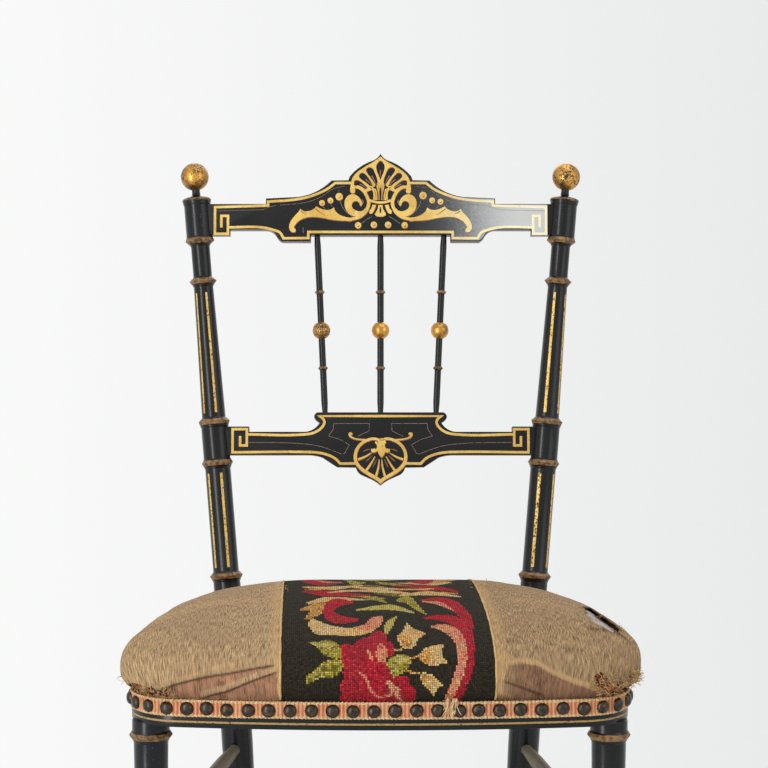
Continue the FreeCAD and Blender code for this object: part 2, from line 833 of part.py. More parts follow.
def corner_blocks():
    """Glue blocks that fill the inner corners under the straps."""
    low = value("seat_height + block_rise")
    high = low + value("block_height")
    leg = value("block_leg")
    inset = value("frame_width + glue_gap")
    inner = value("inner_corner")
    inside = slab(low, high, inset, corner=inner, rear_corner=inner,
                  rear_inset=value("rear_rail_width + glue_gap"))
    box = inside.BoundBox
    rear_face = value("frame_depth - rear_rail_width")
    for word, side in SIDES:
        for end in ("front", "rear"):
            if end == "front":
                near, step = box.YMin, 1
            else:
                near, step = front_line + rear_face - glue_gap, -1
            lean = value("(frame_half_front - frame_half_rear) / frame_depth")
            across = value("frame_half_front - frame_width") - lean * (near - front_line)
            corner = Vector(side * across, near, low)
            reach = Vector(side * (across - leg), near, low)
            up = Vector(side * across, near + step * (leg + value("frame_bow")), low)
            out = Vector(side * (across + leg), near, low)
            wedge = Part.Face(Part.makePolygon([reach, out, up + (out - corner), up, reach]))
            block = wedge.extrude(Vector(0, 0, high - low)).common(inside)
            rear_side = region(-leg - across, -leg, low, leg + across, rear_face - glue_gap, high)
            carved(f"corner_block_{end}_{word}", block.common(rear_side))


# The crown of the seat from the frame up: shares of its height, of its inset at the
# sides, of the front corner's radius, of its inset at the rear and of the rear corner's radius.
crown_shares = [
    (0.15, -0.059, 1.04, -0.017, 0.42),
    (0.317, -bulge_share, 1.08, 0.008, 0.54),
    (0.483, -0.059, 1.12, 0.076, 0.71),
    (0.617, -0.013, 1.21, 0.203, 0.88),
    (0.717, 0.076, 1.33, 0.39, 1.08),
    (0.817, 0.237, 1.46, 0.644, 1.25),
    (0.9, 0.458, 1.58, 0.88, 1.36),
    (0.95, 0.635, 1.54, 1.03, 1.38),
    (0.98, 0.78, 1.46, 1.16, 1.38),
    (1.0, 0.93, 1.38, 1.29, 1.38),
]
# A corner of the crown takes at most this share of the depth that is left at its height.
round_share = 0.46


def crown(base_height, base_inset, skin):
    """The stuffed shape, drawn in by a skin's thickness all over."""
    corner = value("front_corner")
    inset = value("crown_inset")
    depth = value("frame_depth + frame_bow")
    wires = [seat_wire(base_height, base_inset, corner=corner - base_inset)]
    for up, side, front_turn, rear, rear_turn in crown_shares:
        height = value("frame_top") + up * (value("crown_height") - skin)
        drawn = skin * (1 - up)
        most = round_share * (depth - (side + rear) * inset - 2 * drawn)
        wires.append(seat_wire(height, side * inset + drawn, corner=min(front_turn * corner, most),
                               rear_corner=min(rear_turn * corner, most),
                               rear_inset=rear * inset + drawn))
    return Part.makeLoft(wires, True, False)


def cushion():
    """The pad, and its cover in three pieces: velvet, needlework, velvet."""
    top = value("frame_top")
    ledge = value("seat_height + rebate_height + glue_gap")
    corner = value("front_corner")
    skin = value("cover_thickness")
    face = value("rebate_depth") - skin
    lining = value("rebate_depth - glue_gap")
    room = post_room(value("cloth_gap"))
    outer = slab(ledge, top, face, corner=corner - face).fuse(crown(top, face, 0))
    hollow = slab(ledge - overrun, top, lining, corner=corner - lining).fuse(crown(top, lining, skin))
    shell = outer.cut(hollow).cut(room)
    wide = 2 * value("frame_half_front")
    half = value("panel_half")
    middle = Vector(0, front_line + value("frame_depth / 2"), 0)
    low, high = ledge - overrun, top + value("crown_height") + overrun
    spans = {
        "velvet_cover_left": (-wide, -half - glue_gap),
        "needlepoint_panel": (-half, half),
        "velvet_cover_right": (half + glue_gap, wide),
    }
    for label, (left, right) in spans.items():
        box = region(left, -wide, low, right, wide + value("frame_depth"), high)
        box.rotate(middle, Vector(0, 0, 1), value("panel_turn"))
        carved(label, shell.common(box))
    base = value("frame_top + 2 * strap_thickness + tack_head")
    cloth = value("cloth_thickness")
    narrow = value("strap_margin")
    sheet_shape = slab(base, base + cloth, narrow, corner=corner - narrow)
    carved("hessian_cloth", sheet_shape.cut(room))
    stuffing = crown(base + cloth, value("rebate_depth + 2 * cloth_gap"), skin + value("2 * cloth_gap"))
    carved("seat_pad", stuffing.cut(room))


def strap(name, left, front, low, length, width):
    box = doc.addObject("Part::Box", name)
    bind(box, Length=length, Width=width, Height="strap_thickness")
    box.Placement.Base = Vector(value(left), front_line + value(front), value(low))
    return box


strap_shares = (-1.5, -0.5, 0.5, 1.5)
SIDE_AT = "(frame_half_front - strap_margin - ({0}) * (frame_half_front - frame_half_rear) / frame_depth)"


def webbing():
    """Two layers of straps on the frame, nailed at their ends."""
    along_straps = []
    across_straps = []
    spots = []
    for number, share in enumerate(strap_shares):
        left = f"{share} * strap_pitch_across - strap_width / 2"
        length = "frame_depth - 2 * strap_margin"
        along_straps.append(
            strap(f"strap_along_{number}", left, "strap_margin", "frame_top", "strap_width", length))
        middle = f"frame_depth / 2 + {share} * strap_pitch_along"
        half = SIDE_AT.format(middle + " + strap_width / 2")
        low = "frame_top + strap_thickness"
        across_straps.append(
            strap(f"strap_across_{number}", "-" + half, middle + " - strap_width / 2", low,
                  "2 * " + half, "strap_width"))
        for step in (-1, 0, 1):
            shift = f"{step} * strap_width / 3"
            centre = value(f"{share} * strap_pitch_across + {shift}")
            for y in ("2 * strap_margin", "frame_depth - 2 * strap_margin"):
                spots.append(Vector(centre, front_line + value(y), value(low)))
            for side in (-1, 1):
                across = side * (value(half) - value("strap_margin"))
                y = front_line + value(f"{middle} + {shift}")
                spots.append(Vector(across, y, value(low + " + strap_thickness")))
    for label, straps in (("webbing_along", along_straps), ("webbing_across", across_straps)):
        group = doc.addObject("Part::Compound", label + "_group")
        group.Links = straps
        keep(group, label)
    tacks = []
    for spot in spots:
        tip = spot - Vector(0, 0, value("tack_length"))
        head = peg(spot, spot + Vector(0, 0, value("tack_head")), value("tack_radius"))
        tacks.append(head.fuse(peg(tip, spot, value("nail_shank_radius"))))
    carved("webbing_tacks", Part.makeCompound(tacks))


def walked(edges, pitch, first=0.0):
    """Points at a steady pitch along edges, each with its outward direction."""
    places = []
    along_all = first
    for edge in edges:
        while along_all <= edge.Length:
            spot = edge.getParameterByLength(along_all)
            places.append((edge.valueAt(spot), edge.tangentAt(spot).cross(Vector(0, 0, 1))))
            along_all += pitch
        along_all -= edge.Length
    return places


def dome_nail(spot, outward):
    radius, rise = value("nail_radius"), value("nail_dome")
    sphere = (radius ** 2 + rise ** 2) / (2 * rise)
    centre = spot - outward * (sphere - rise)
    latitude = math.degrees(math.asin((sphere - rise) / sphere))
    head = Part.makeSphere(sphere, centre, outward, latitude, 90, 360)
    return head.fuse(peg(spot - outward * value("nail_shank_length"), spot, value("nail_shank_radius")))


def braid_and_nails():
    ledge = value("seat_height + rebate_height + glue_gap")
    top = value("frame_top")
    corner = value("front_corner")
    face = value("rebate_depth - cover_thickness - braid_thickness")
    lining = value("rebate_depth - cover_thickness - glue_gap")
    outer = slab(ledge, top, face, corner=corner - face)
    inner = slab(ledge - overrun, top + overrun, lining, corner=corner - lining)
    carved("braid", outer.cut(inner).cut(post_room(value("cloth_gap"))))
    edges = corner_edges(face, corner - face, value("rear_corner"), face)
    pitch = value("nail_pitch")
    room = value("nail_radius + cloth_gap")
    side_stop = front_line + value("post_front") - room
    rear_stop = value("bend_half - seat_radius") - room
    places = [place for place in walked(edges[:3], pitch) if place[0].y < side_stop]
    rear_edge = Part.LineSegment(edges[4].Vertexes[1].Point, edges[4].Vertexes[0].Point).toShape()
    rear_places = [(spot, Vector(0, 1, 0)) for spot, _ in walked([rear_edge], pitch) if spot.x < rear_stop]
    nails = []
    height = Vector(0, 0, (ledge + top) / 2)
    for spot, outward in places + rear_places:
        nails.append(dome_nail(spot + height, outward))
        if spot.x > room:
            flip = Vector(-spot.x, spot.y, 0)
            nails.append(dome_nail(flip + height, Vector(-outward.x, outward.y, 0)))
    carved("braid_nails", Part.makeCompound(nails))


for word, side in SIDES:
    rear_post(word, side)
    finial(word, side)
    front_leg(word, side)
crest_outline = rail_outline("crest", crest_under_shares, crest_over_shares, crest_end_shares)
lower_outline = rail_outline("lower", lower_under_shares, lower_over_shares, lower_end_shares)
back_rail("crest_rail", "crest", crest_outline, "top_block_radius")
back_rail("lower_back_rail", "lower", lower_outline, "block_radius")
for word, side in SPINDLES:
    spindle_and_bead(word, side)
for name, ends in stretchers.items():
    stretcher(name, ends)
seat_frame()
corner_blocks()
webbing()
cushion()
braid_and_nails()
doc.recompute()

for thing in doc.Objects:
    if "Invalid" in thing.State or "Error" in thing.State:
        raise RuntimeError(f"{thing.Name} failed: {thing.State}")
for label, thing in kept.items():
    if thing.Shape.isNull() or not thing.Shape.isValid():
        raise RuntimeError(f"{label} has no valid shape")

os.makedirs("parts", exist_ok=True)
for label, thing in kept.items():
    thing.Shape.exportStep(f"parts/{label}.step")
print(len(kept), "nodes written")
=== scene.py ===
import math
import random
import bmesh
import bpy
from mathutils import Matrix, Vector, bvhtree, noise


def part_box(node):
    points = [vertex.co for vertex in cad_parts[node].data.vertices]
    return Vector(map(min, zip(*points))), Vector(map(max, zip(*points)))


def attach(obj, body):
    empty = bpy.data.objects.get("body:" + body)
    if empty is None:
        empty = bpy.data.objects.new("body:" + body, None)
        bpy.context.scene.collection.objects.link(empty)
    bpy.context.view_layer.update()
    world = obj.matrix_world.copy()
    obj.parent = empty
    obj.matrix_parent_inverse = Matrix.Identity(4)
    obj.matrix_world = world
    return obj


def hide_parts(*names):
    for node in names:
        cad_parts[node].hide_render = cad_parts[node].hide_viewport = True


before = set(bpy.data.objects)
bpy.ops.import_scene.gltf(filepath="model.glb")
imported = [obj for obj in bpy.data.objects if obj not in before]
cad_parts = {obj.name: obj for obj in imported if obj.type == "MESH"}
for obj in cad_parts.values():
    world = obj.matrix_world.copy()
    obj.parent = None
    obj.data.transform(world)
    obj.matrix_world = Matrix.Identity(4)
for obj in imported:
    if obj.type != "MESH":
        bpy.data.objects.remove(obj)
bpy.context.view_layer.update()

# The chair's driving sizes, in millimetres and degrees. Everything is made in
# millimetres and is brought to metres when it becomes a piece.
chair = {
    "frameTop": 425, "halfFront": 218, "halfRear": 167, "depth": 378, "bow": 20, "frontCorner": 48,
    "rearCorner": 14, "bendHeight": 440, "bendHalf": 151.6, "bendDepth": 366, "rake": 8.5, "splay": 4.8,
    "legRake": 5, "legSplay": 2.87, "frontLegHalf": 194.5, "frontLegBack": 22, "railThick": 18,
    "railFront": -7,
}
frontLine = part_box("seat_front_rail")[0].y * 1000 + chair["bow"]  # y of the frame's front corners
backPlane = (Matrix.Translation((0, frontLine + chair["bendDepth"], chair["bendHeight"]))
             @ Matrix.Rotation(math.radians(-chair["rake"]), 4, "X"))
sides = (("left", -1), ("right", 1))


def onBack(across, up, behind=0.0):
    return backPlane @ Vector((across, behind, up))


def facePlane(behind):  # flat drawings stand on this: x across, y up the back, z to the front
    stand = Matrix(((1, 0, 0, 0), (0, 0, -1, behind), (0, 1, 0, 0), (0, 0, 0, 1)))
    return backPlane @ stand


def postMatrix(side):
    lean = Matrix.Rotation(math.radians(side * chair["splay"]), 4, "Y")
    return backPlane @ Matrix.Translation((side * chair["bendHalf"], 0, 0)) @ lean


def rearLegPoint(side, height):
    drop = chair["bendHeight"] - height
    across = chair["bendHalf"] - drop * math.tan(math.radians(chair["legSplay"]))
    back = frontLine + chair["bendDepth"] + drop * math.tan(math.radians(chair["legRake"]))
    return Vector((side * across, back, height))


def frontLegPoint(side, height):
    return Vector((side * chair["frontLegHalf"], frontLine + chair["frontLegBack"], height))


def between(start, stop):  # the matrix whose z axis runs from start to stop
    turn = Vector((0, 0, 1)).rotation_difference(stop - start).to_matrix().to_4x4()
    return Matrix.Translation(start) @ turn


def smoothStep(low, high, spot):
    share = min(1.0, max(0.0, (spot - low) / (high - low)))
    return share * share * (3 - 2 * share)


class Wire:  # one socket; sums on it add Math nodes
    def __init__(self, nodes, socket):
        self.nodes = nodes
        self.socket = socket

    def sum(self, operation, first, second=0.0):
        return self.nodes.node("Math", {"operation": operation}, {0: first, 1: second})

    def __add__(self, other):
        return self.sum("ADD", self, other)

    def __sub__(self, other):
        return self.sum("SUBTRACT", self, other)

    def __rsub__(self, other):
        return self.sum("SUBTRACT", other, self)

    def __mul__(self, other):
        return self.sum("MULTIPLY", self, other)

    def __abs__(self):
        return self.sum("ABSOLUTE", self)

    def sin(self):
        return self.sum("SINE", self)

    def fract(self):
        return self.sum("FRACT", self)

    def root(self):
        return self.sum("SQRT", self)

    def most(self, other):
        return self.sum("MAXIMUM", self, other)

    def step(self, low, high):  # 0 below low, 1 above high, smooth between
        settings = {"interpolation_type": "SMOOTHSTEP"}
        return self.nodes.node("MapRange", settings, {0: self, 1: low, 2: high})

    __radd__ = __add__
    __rmul__ = __mul__


def screen(red, green, blue):  # a colour as a screen shows it, from 0 to 255
    parts = [part / 255 for part in (red, green, blue)]
    return tuple(part / 12.92 if part < 0.04 else ((part + 0.055) / 1.055) ** 2.4 for part in parts)


def scaled(colour, share):
    return tuple(part * share for part in colour)


class Nodes:  # a node tree that is built from its outputs back
    def __init__(self, tree):
        self.tree = tree
        self.tree.nodes.clear()

    def node(self, kind, settings=None, values=None, out=0):
        made = self.tree.nodes.new("ShaderNode" + kind)
        for key, setting in (settings or {}).items():
            if key == "stops":
                ramp = made.color_ramp.elements
                while len(ramp) < len(setting):
                    ramp.new(0.5)
                for stop, (spot, colour) in zip(ramp, setting):
                    stop.position = spot
                    stop.color = (*colour, 1)
            else:
                setattr(made, key, setting)
        for key, given in (values or {}).items():
            if isinstance(given, Wire):
                self.tree.links.new(given.socket, made.inputs[key])
            elif made.inputs[key].type == "RGBA" and len(given) == 3:
                made.inputs[key].default_value = (*given, 1)
            else:
                made.inputs[key].default_value = given
        return Wire(self, made.outputs[out]) if len(made.outputs) else made

    def mix(self, mask, first, second):
        return self.node("Mix", {"data_type": "RGBA"}, {0: mask, 6: first, 7: second}, out=2)


class Finish(Nodes):
    def __init__(self, name):
        self.material = bpy.data.materials.new(name)
        self.material.use_nodes = True
        super().__init__(self.material.node_tree)
        self.place = self.node("TexCoord", out="Object")

    def noise(self, scale, detail=3.0, rough=0.55, stretch=None, at=None):
        at = at or self.place
        if stretch:
            at = self.node("Mapping", None, {"Vector": at, "Scale": stretch})
        return self.node("TexNoise", None,
                         {"Vector": at, "Scale": scale, "Detail": detail, "Roughness": rough})

    def cells(self, scale):
        return self.node("TexVoronoi", {"feature": "F1"}, {"Vector": self.place, "Scale": scale})

    def ramp(self, mask, stops):
        return self.node("ValToRGB", {"stops": stops}, {0: mask})

    def axes(self, at=None):
        return [self.node("SeparateXYZ", None, {0: at or self.place}, out=number) for number in range(3)]

    def attribute(self, name, out="Fac"):
        return self.node("Attribute", {"attribute_name": name}, out=out)

    def cloth(self):  # the piece's own map, in metres
        return self.node("UVMap", {"uv_map": "cloth"})

    def bump(self, height, strength=0.3, distance=0.0005):
        return self.node("Bump", None, {"Height": height, "Strength": strength, "Distance": distance})

    def surface(self, **values):
        named = {key.replace("_", " "): given for key, given in values.items()}
        shader = self.node("BsdfPrincipled", None, named)
        self.node("OutputMaterial", None, {"Surface": shader})
        return self.material


# the two pale greys are a painted reflection on the crest rail's right end; the rest are the paint's and the
# bare wood's own colours
paintLook = {
    "black": screen(9, 9, 10), "blueBlack": screen(15, 16, 20), "dust": screen(122, 112, 92),
    "bare": screen(152, 117, 74), "bareDark": screen(86, 62, 40), "paintedReflection": screen(120, 124, 128),
    "sheen": screen(206, 209, 205), "darkEnd": (0.167, 0.168),
}


def ebonised(name, gloss, dusty=0.0, paintedReflection=0.0):
    finish = Finish(name)
    broad = finish.noise(14, 4)
    fine = finish.noise(520, 3, 0.6)
    grain = finish.noise(60, 4, 0.6, stretch=(1, 1, 0.12))
    rubbed = finish.attribute("worn")
    colour = finish.mix(broad.step(0.35, 0.7), paintLook["black"], paintLook["blueBlack"])
    specks = (1 - finish.cells(210).step(0.10, 0.13)) * finish.noise(30, 2).step(0.5, 0.66)
    colour = finish.mix(specks * (0.35 + dusty * 0.4), colour, paintLook["dust"])
    if dusty:
        dustAndReflection = finish.noise(7, 5, 0.65).step(0.4 - 0.3 * dusty, 0.72 - 0.25 * dusty)
        colour = finish.mix(dustAndReflection * dusty, colour, paintLook["dust"])
    if paintedReflection:  # painted reflection that greys the black towards the right end, with a brighter painted reflection on it; eased edges and the strip by the post stay dark
        across = finish.axes()[0]
        clear = (1 - across.step(*paintLook["darkEnd"])) * (1 - rubbed.step(0.04, 0.2))
        dustAndReflection = (across + (broad - 0.5) * 0.05).step(0.0, 0.14) * (0.65 + fine * 0.5)
        colour = finish.mix(dustAndReflection * paintedReflection * clear, colour, paintLook["paintedReflection"])
        # a brighter band of the painted reflection nearer the end
        sheen = (across + (fine - 0.5) * 0.03).step(0.06, 0.14)
        colour = finish.mix(sheen * 0.9 * clear, colour, paintLook["sheen"])
    bared = (rubbed * 1.5 + (finish.noise(120, 4, 0.65) - 0.5) * 0.9 - 0.42).step(0.1, 0.4)
    wood = finish.mix(finish.noise(260, 3).step(0.35, 0.65), paintLook["bareDark"], paintLook["bare"])
    colour = finish.mix(bared, colour, wood)
    rough = gloss + broad * 0.12 + fine * 0.06 + bared * 0.28 + dusty * 0.25
    height = grain * 0.5 + fine * 0.25 - bared * 0.6
    return finish.surface(Base_Color=colour, Roughness=rough, Normal=finish.bump(height, 0.22, 0.0004),
                          Specular_IOR_Level=0.24, Coat_Weight=0.16, Coat_Roughness=0.12)


# the last gilt colour is a painted reflection: the pale gold on the crest rail's right end
giltLook = {"bright": screen(234, 199, 111), "deep": screen(212, 170, 79), "pale": screen(250, 232, 168),
            "under": screen(34, 28, 24), "brown": screen(120, 76, 34), "giltReflection": screen(255, 248, 216)}
ballLook = {**giltLook, "bright": screen(224, 172, 84), "deep": screen(170, 118, 54),
            "pale": screen(246, 208, 132), "under": screen(26, 21, 17)}


def gilded(name, worn, metal=0.35, gloss=0.36, mottle=0.35, chip=330, look=giltLook, patches=(24, 0.22),
           giltReflection=0.0):
    finish = Finish(name)
    patch = finish.noise(38, 5, 0.6)
    colour = finish.mix(patch.step(0.3, 0.72), look["deep"], look["bright"])
    colour = finish.mix(finish.noise(150, 4).step(0.55, 0.8) * 0.5, colour, look["pale"])
    colour = finish.mix(finish.noise(240, 5, 0.7).step(0.54, 0.7) * mottle, colour, look["brown"])
    chips = finish.noise(chip, 5, 0.72)
    spread = (finish.noise(patches[0], 3) - 0.5) * patches[1]
    bare = (chips + spread).step(0.68 - worn * 0.5, 0.74 - worn * 0.5)
    if giltReflection:  # painted reflection: the gold paler towards the right end
        colour = finish.mix(finish.axes()[0].step(0.03, 0.15) * giltReflection, colour, look["giltReflection"])
    colour = finish.mix(bare, colour, look["under"])
    return finish.surface(Base_Color=colour, Metallic=metal * (1 - bare),
                          Roughness=gloss + patch * 0.14 + bare * 0.15,
                          Normal=finish.bump(patch * 0.4 + chips * 0.3 - bare * 0.8, 0.25, 0.0003))


def plainPaint(name, colour, gap):  # a thin stroke of flat colour, rubbed through in places
    finish = Finish(name)
    tone = finish.mix(finish.noise(300, 3).step(0.3, 0.75) * 0.5, colour, scaled(colour, 0.55))
    rub = finish.noise(420, 4, 0.7).step(0.62 - gap, 0.7 - gap)
    tone = finish.mix(rub, tone, paintLook["black"])
    return finish.surface(Base_Color=tone, Roughness=0.5 + rub * 0.1,
                          Normal=finish.bump(finish.noise(700, 2), 0.15, 0.0002))


def timber(name, light, dark):
    finish = Finish(name)
    rings = finish.noise(26, 5, 0.6, stretch=(1, 0.15, 1))
    fibre = finish.noise(420, 3, 0.6, stretch=(1, 0.06, 1))
    colour = finish.mix(rings.step(0.3, 0.7), dark, light)
    colour = finish.mix(fibre.step(0.4, 0.75) * 0.4, colour, scaled(dark, 0.5))
    return finish.surface(Base_Color=colour, Roughness=0.62 + fibre * 0.2,
                          Normal=finish.bump(fibre, 0.35, 0.0005))


paint = ebonised("ebonised paint", 0.18)
stretcherPaint = ebonised("stretcher paint, worn", 0.5, dusty=0.95)
# the crest rail's paint is greyed towards its right end by a painted reflection
crestPaint = ebonised("ebonised paint, crest", 0.26, paintedReflection=0.85)
gilt = gilded("gilding", 0.02)
# the crest's gilding turns paler towards its right end by a painted reflection
crestGold = gilded("gilding, crest", 0.02, giltReflection=0.8)
rubbedGilt = gilded("gilding, rubbed", 0.26, gloss=0.4, chip=420)
ballWear = {"metal": 0.8, "gloss": 0.26, "look": ballLook}
ballGilt = gilded("ball gilding", 0.3, mottle=0.7, chip=560, patches=(66, 0.7), **ballWear)
beadGilt = {}
for word, worn in (("left", 0.42), ("centre", 0.02), ("right", 0.24)):
    beadGilt[word] = gilded("bead gilding, " + word, worn, mottle=0.6, chip=620, patches=(90, 0.6),
                            **ballWear)
pinkStroke = plainPaint("pink shading", screen(158, 108, 94), 0.04)
brownStroke = plainPaint("brown shading", screen(140, 92, 52), 0.02)
paleLine = plainPaint("pale line", screen(150, 128, 104), 0.08)
frameGold = plainPaint("frame line, dulled gold", screen(170, 136, 74), 0.05)
blockWood = timber("block wood", screen(168, 132, 88), screen(120, 86, 52))


def placed(name, data):  # a new object in the scene
    made = bpy.data.objects.new(name, data)
    bpy.context.scene.collection.objects.link(made)
    return made


def refinished(node, finish):  # a CAD node that is shown as it is
    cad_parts[node].data.materials.clear()
    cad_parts[node].data.materials.append(finish)


def thickened(made, thick, offset=-1):
    walls = made.modifiers.new("thickness", "SOLIDIFY")
    walls.thickness = thick / 1000
    walls.offset = offset


def piece(name, shape, finish, stands=(), place=None, sharp=38):
    if place:
        bmesh.ops.transform(shape, matrix=place, verts=shape.verts)
    bmesh.ops.scale(shape, vec=(0.001, 0.001, 0.001), verts=shape.verts)
    mesh = bpy.data.meshes.new(name)
    shape.to_mesh(mesh)
    shape.free()
    mesh.shade_smooth()
    mesh.set_sharp_from_angle(angle=math.radians(sharp))
    made = placed(name, mesh)
    for one in finish if isinstance(finish, (list, tuple)) else [finish]:
        mesh.materials.append(one)
    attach(made, "root")
    for node in stands:
        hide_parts(node)
    return made


def eased(profile, ease):  # the corners of a turner's profile, slightly rounded
    points = [profile[0]]
    for before, here, after in zip(profile, profile[1:], profile[2:]):
        spot, rub = Vector(here[:2]), here[2] if len(here) > 2 else 0.0
        back, on = Vector(before[:2]) - spot, Vector(after[:2]) - spot
        near, far = min(ease, back.length * 0.4), min(ease, on.length * 0.4)
        start, stop = spot + back.normalized() * near, spot + on.normalized() * far
        for share in (0.0, 0.5, 1.0):
            mid = start.lerp(spot, share).lerp(spot.lerp(stop, share), share)
            points.append((mid.x, mid.y, rub))
    return points + [profile[-1]]


def spun(shape, line, steps):  # turns a line of points round the z axis
    edges = [shape.edges.new(pair) for pair in zip(line, line[1:])]
    bmesh.ops.spin(shape, geom=line + edges, cent=(0, 0, 0), axis=(0, 0, 1), angle=math.tau, steps=steps,
                   use_merge=True)
    bmesh.ops.remove_doubles(shape, verts=shape.verts, dist=0.002)


def lathe(profile, steps=56, ease=0.7):
    shape = bmesh.new()
    worn = shape.verts.layers.float.new("worn")
    line = []
    for radius, height, *rub in eased(profile, ease):
        vert = shape.verts.new((radius, 0, height))
        vert[worn] = rub[0] if rub else 0.0
        line.append(vert)
    spun(shape, line, steps)
    bmesh.ops.recalc_face_normals(shape, faces=shape.faces)
    return shape


def roundFace(radius, steps, first, last):  # points of a ball's profile, from its lower to its upper pole
    turns = [math.pi * step / steps - math.pi / 2 for step in range(first, last)]
    return [(radius * math.cos(turn), radius * math.sin(turn)) for turn in turns]


def bridge(shape, lower, upper, around=False):  # a row of faces between two rows of points
    for number in range(len(lower) if around else len(lower) - 1):
        after = (number + 1) % len(lower)
        shape.faces.new((lower[number], lower[after], upper[after], upper[number]))


def ring(height, radius, below, above, half=4.2):  # a sharp V ring, rubbed bare at its edge
    return [(below, height - half - 1.3), (below + 0.7, height - half - 0.9, 0.2),
            (below + 0.7, height - half, 0.22), (radius - 0.5, height - 0.6, 0.85), (radius, height, 1.0),
            (radius - 0.6, height + 0.8, 0.8), (above, height + half, 0.16)]


def traced(points, closed=False, steps=5):  # smooth through the points; a third entry marks a corner
    count = len(points)
    line = []
    spots = [Vector(point[:2]) for point in points]
    corner = [len(point) > 2 for point in points]
    if not closed:
        corner[0] = corner[-1] = True

    def heading(number, into):
        here = spots[number]
        before, after = here - spots[number - 1], spots[(number + 1) % count] - here
        if corner[number]:
            return (before if into else after).normalized()
        return (before.normalized() + after.normalized()).normalized()

    for number in range(count if closed else count - 1):
        following = (number + 1) % count
        start, stop = spots[number], spots[following]
        line.append(start)
        if corner[number] and corner[following]:
            continue
        reach = (stop - start).length
        lead, trail = heading(number, False) * reach, heading(following, True) * reach
        for step in range(1, steps):
            share = step / steps
            square, cube = share * share, share ** 3
            line.append(start * (2 * cube - 3 * square + 1) + lead * (cube - 2 * square + share)
                        + stop * (3 * square - 2 * cube) + trail * (cube - square))
    if not closed:
        line.append(spots[-1])
    return line


def edgeOf(line, off, closed=False):  # the line moved sideways by off, mitred at its corners
    moved = []
    for number, here in enumerate(line):
        before = line[number - 1] if number or closed else None
        after = line[(number + 1) % len(line)] if closed or number + 1 < len(line) else None
        headings = []
        if before is not None:
            headings.append((here - before).normalized())
        if after is not None:
            headings.append((after - here).normalized())
        along = sum(headings, Vector((0, 0))).normalized()
        normal = Vector((-along.y, along.x))
        stretch = 1 / max(0.45, normal.dot(Vector((-headings[0].y, headings[0].x))))
        moved.append(here + normal * off * stretch)
    return moved


def band(points, width, steps=5):
    line = traced(points, steps=steps)
    wide = width if isinstance(width, (int, float)) else None
    if wide:
        return edgeOf(line, wide / 2) + edgeOf(line, -wide / 2)[::-1]
    upper, lower = [], []
    for number, here in enumerate(line):  # a width that changes along the line, from a list of widths
        share = number / (len(line) - 1) * (len(width) - 1)
        low = min(int(share), len(width) - 2)
        local = width[low] + (width[low + 1] - width[low]) * (share - low)
        before, after = line[max(0, number - 1)], line[min(len(line) - 1, number + 1)]
        along = (after - before).normalized()
        normal = Vector((-along.y, along.x))
        upper.append(here + normal * local / 2)
        lower.append(here - normal * local / 2)
    return upper + lower[::-1]


def disc(across, up, radius, steps=18):
    return [Vector((across + radius * math.cos(turn), up + radius * math.sin(turn)))
            for turn in (math.tau * step / steps for step in range(steps))]


def loopsOf(group):  # a drawn figure is one loop, or a loop and the holes in it
    return group if isinstance(group[0][0], (Vector, tuple, list)) else [group]


def polyline(curve, spots):
    spline = curve.splines.new("POLY")
    spline.points.add(len(spots) - 1)
    for point, spot in zip(spline.points, spots):
        point.co = (spot[0], spot[1], spot[2] if curve.dimensions == "3D" else 0, 1)
    return spline


def addCurve(shape, name, curve):  # adds the curve's surface to the shape and removes the curve
    holder = placed(name + "_drawing", curve)
    mesh = bpy.data.meshes.new_from_object(holder)
    shape.from_mesh(mesh)
    bpy.data.objects.remove(holder)
    bpy.data.curves.remove(curve)
    bpy.data.meshes.remove(mesh)


def painted(name, groups, finish, thick=0.14):  # figures on the front of the back rails
    shape = bmesh.new()
    for number, group in enumerate(groups):
        curve = bpy.data.curves.new(name, "CURVE")
        curve.dimensions = "2D"
        curve.fill_mode = "BOTH"
        curve.extrude = thick + number % 9 * 0.004  # strokes that cross don't share a face
        for loop in loopsOf(group):
            polyline(curve, loop).use_cyclic_u = True
        addCurve(shape, name, curve)
    bmesh.ops.remove_doubles(shape, verts=shape.verts, dist=0.0005)
    return piece(name, shape, finish, place=facePlane(chair["railFront"]), sharp=30)


print("turned posts and legs")
post = {
    "seat": 15.6, "block": 13.4, "shaft": 12.7, "midLow": 11.8, "midHigh": 9.7, "top": 9.4, "topBlock": 13.1,
    "capFace": 11, "neck": 4, "ball": 14, "ballUp": 426.5, "cap": 402.7,
    "rings": ((25.6, 16.5, "block", "shaft"), (138.0, 15.8, "shaft", "block"),
              (179.3, 15.8, "block", "midLow"), (320.5, 13.7, "midHigh", "top"),
              (361.4, 14.7, "top", "topBlock")),
    "footRadius": 10.5, "footStraight": 150, "bendEase": 16,
    # gilt stripes: low and high on the back, and the angles of each side's stripes from the front
    "stripes": ((34, 127.6), (188, 308.5)),
    "stripeAngles": {-1: ((-46, 10.5), (17, 11.5)), 1: ((-17, 13.5), (57, 12))},
}
postStretch = 1 / math.cos(math.radians(chair["splay"]))


def postProfile():
    legLength = (rearLegPoint(1, 0) - rearLegPoint(1, chair["bendHeight"])).length
    points = [(0, -legLength - 6), (post["footRadius"], -legLength - 6),
              (post["seat"], -post["footStraight"]), (post["seat"], 0), (post["block"], 12)]
    for up, radius, below, above in post["rings"]:
        points += ring(up * postStretch, radius, post[below], post[above])
    cap = post["cap"] * postStretch
    points += [(post["topBlock"], cap - 5.4), (post["topBlock"] + 0.6, cap - 4.6, 0.2),
               (post["topBlock"] + 0.6, cap - 4, 0.2), (14.4, cap - 0.7, 0.4), (14.7, cap, 0.75),
               (13.6, cap + 1.5, 0.4), (post["capFace"], cap + 2.4, 0.3), (6.5, cap + 3.6, 0.2),
               (post["neck"] + 0.4, cap + 5, 0.3), (post["neck"], cap + 8), (post["neck"], cap + 14),
               (0, cap + 14)]
    return points


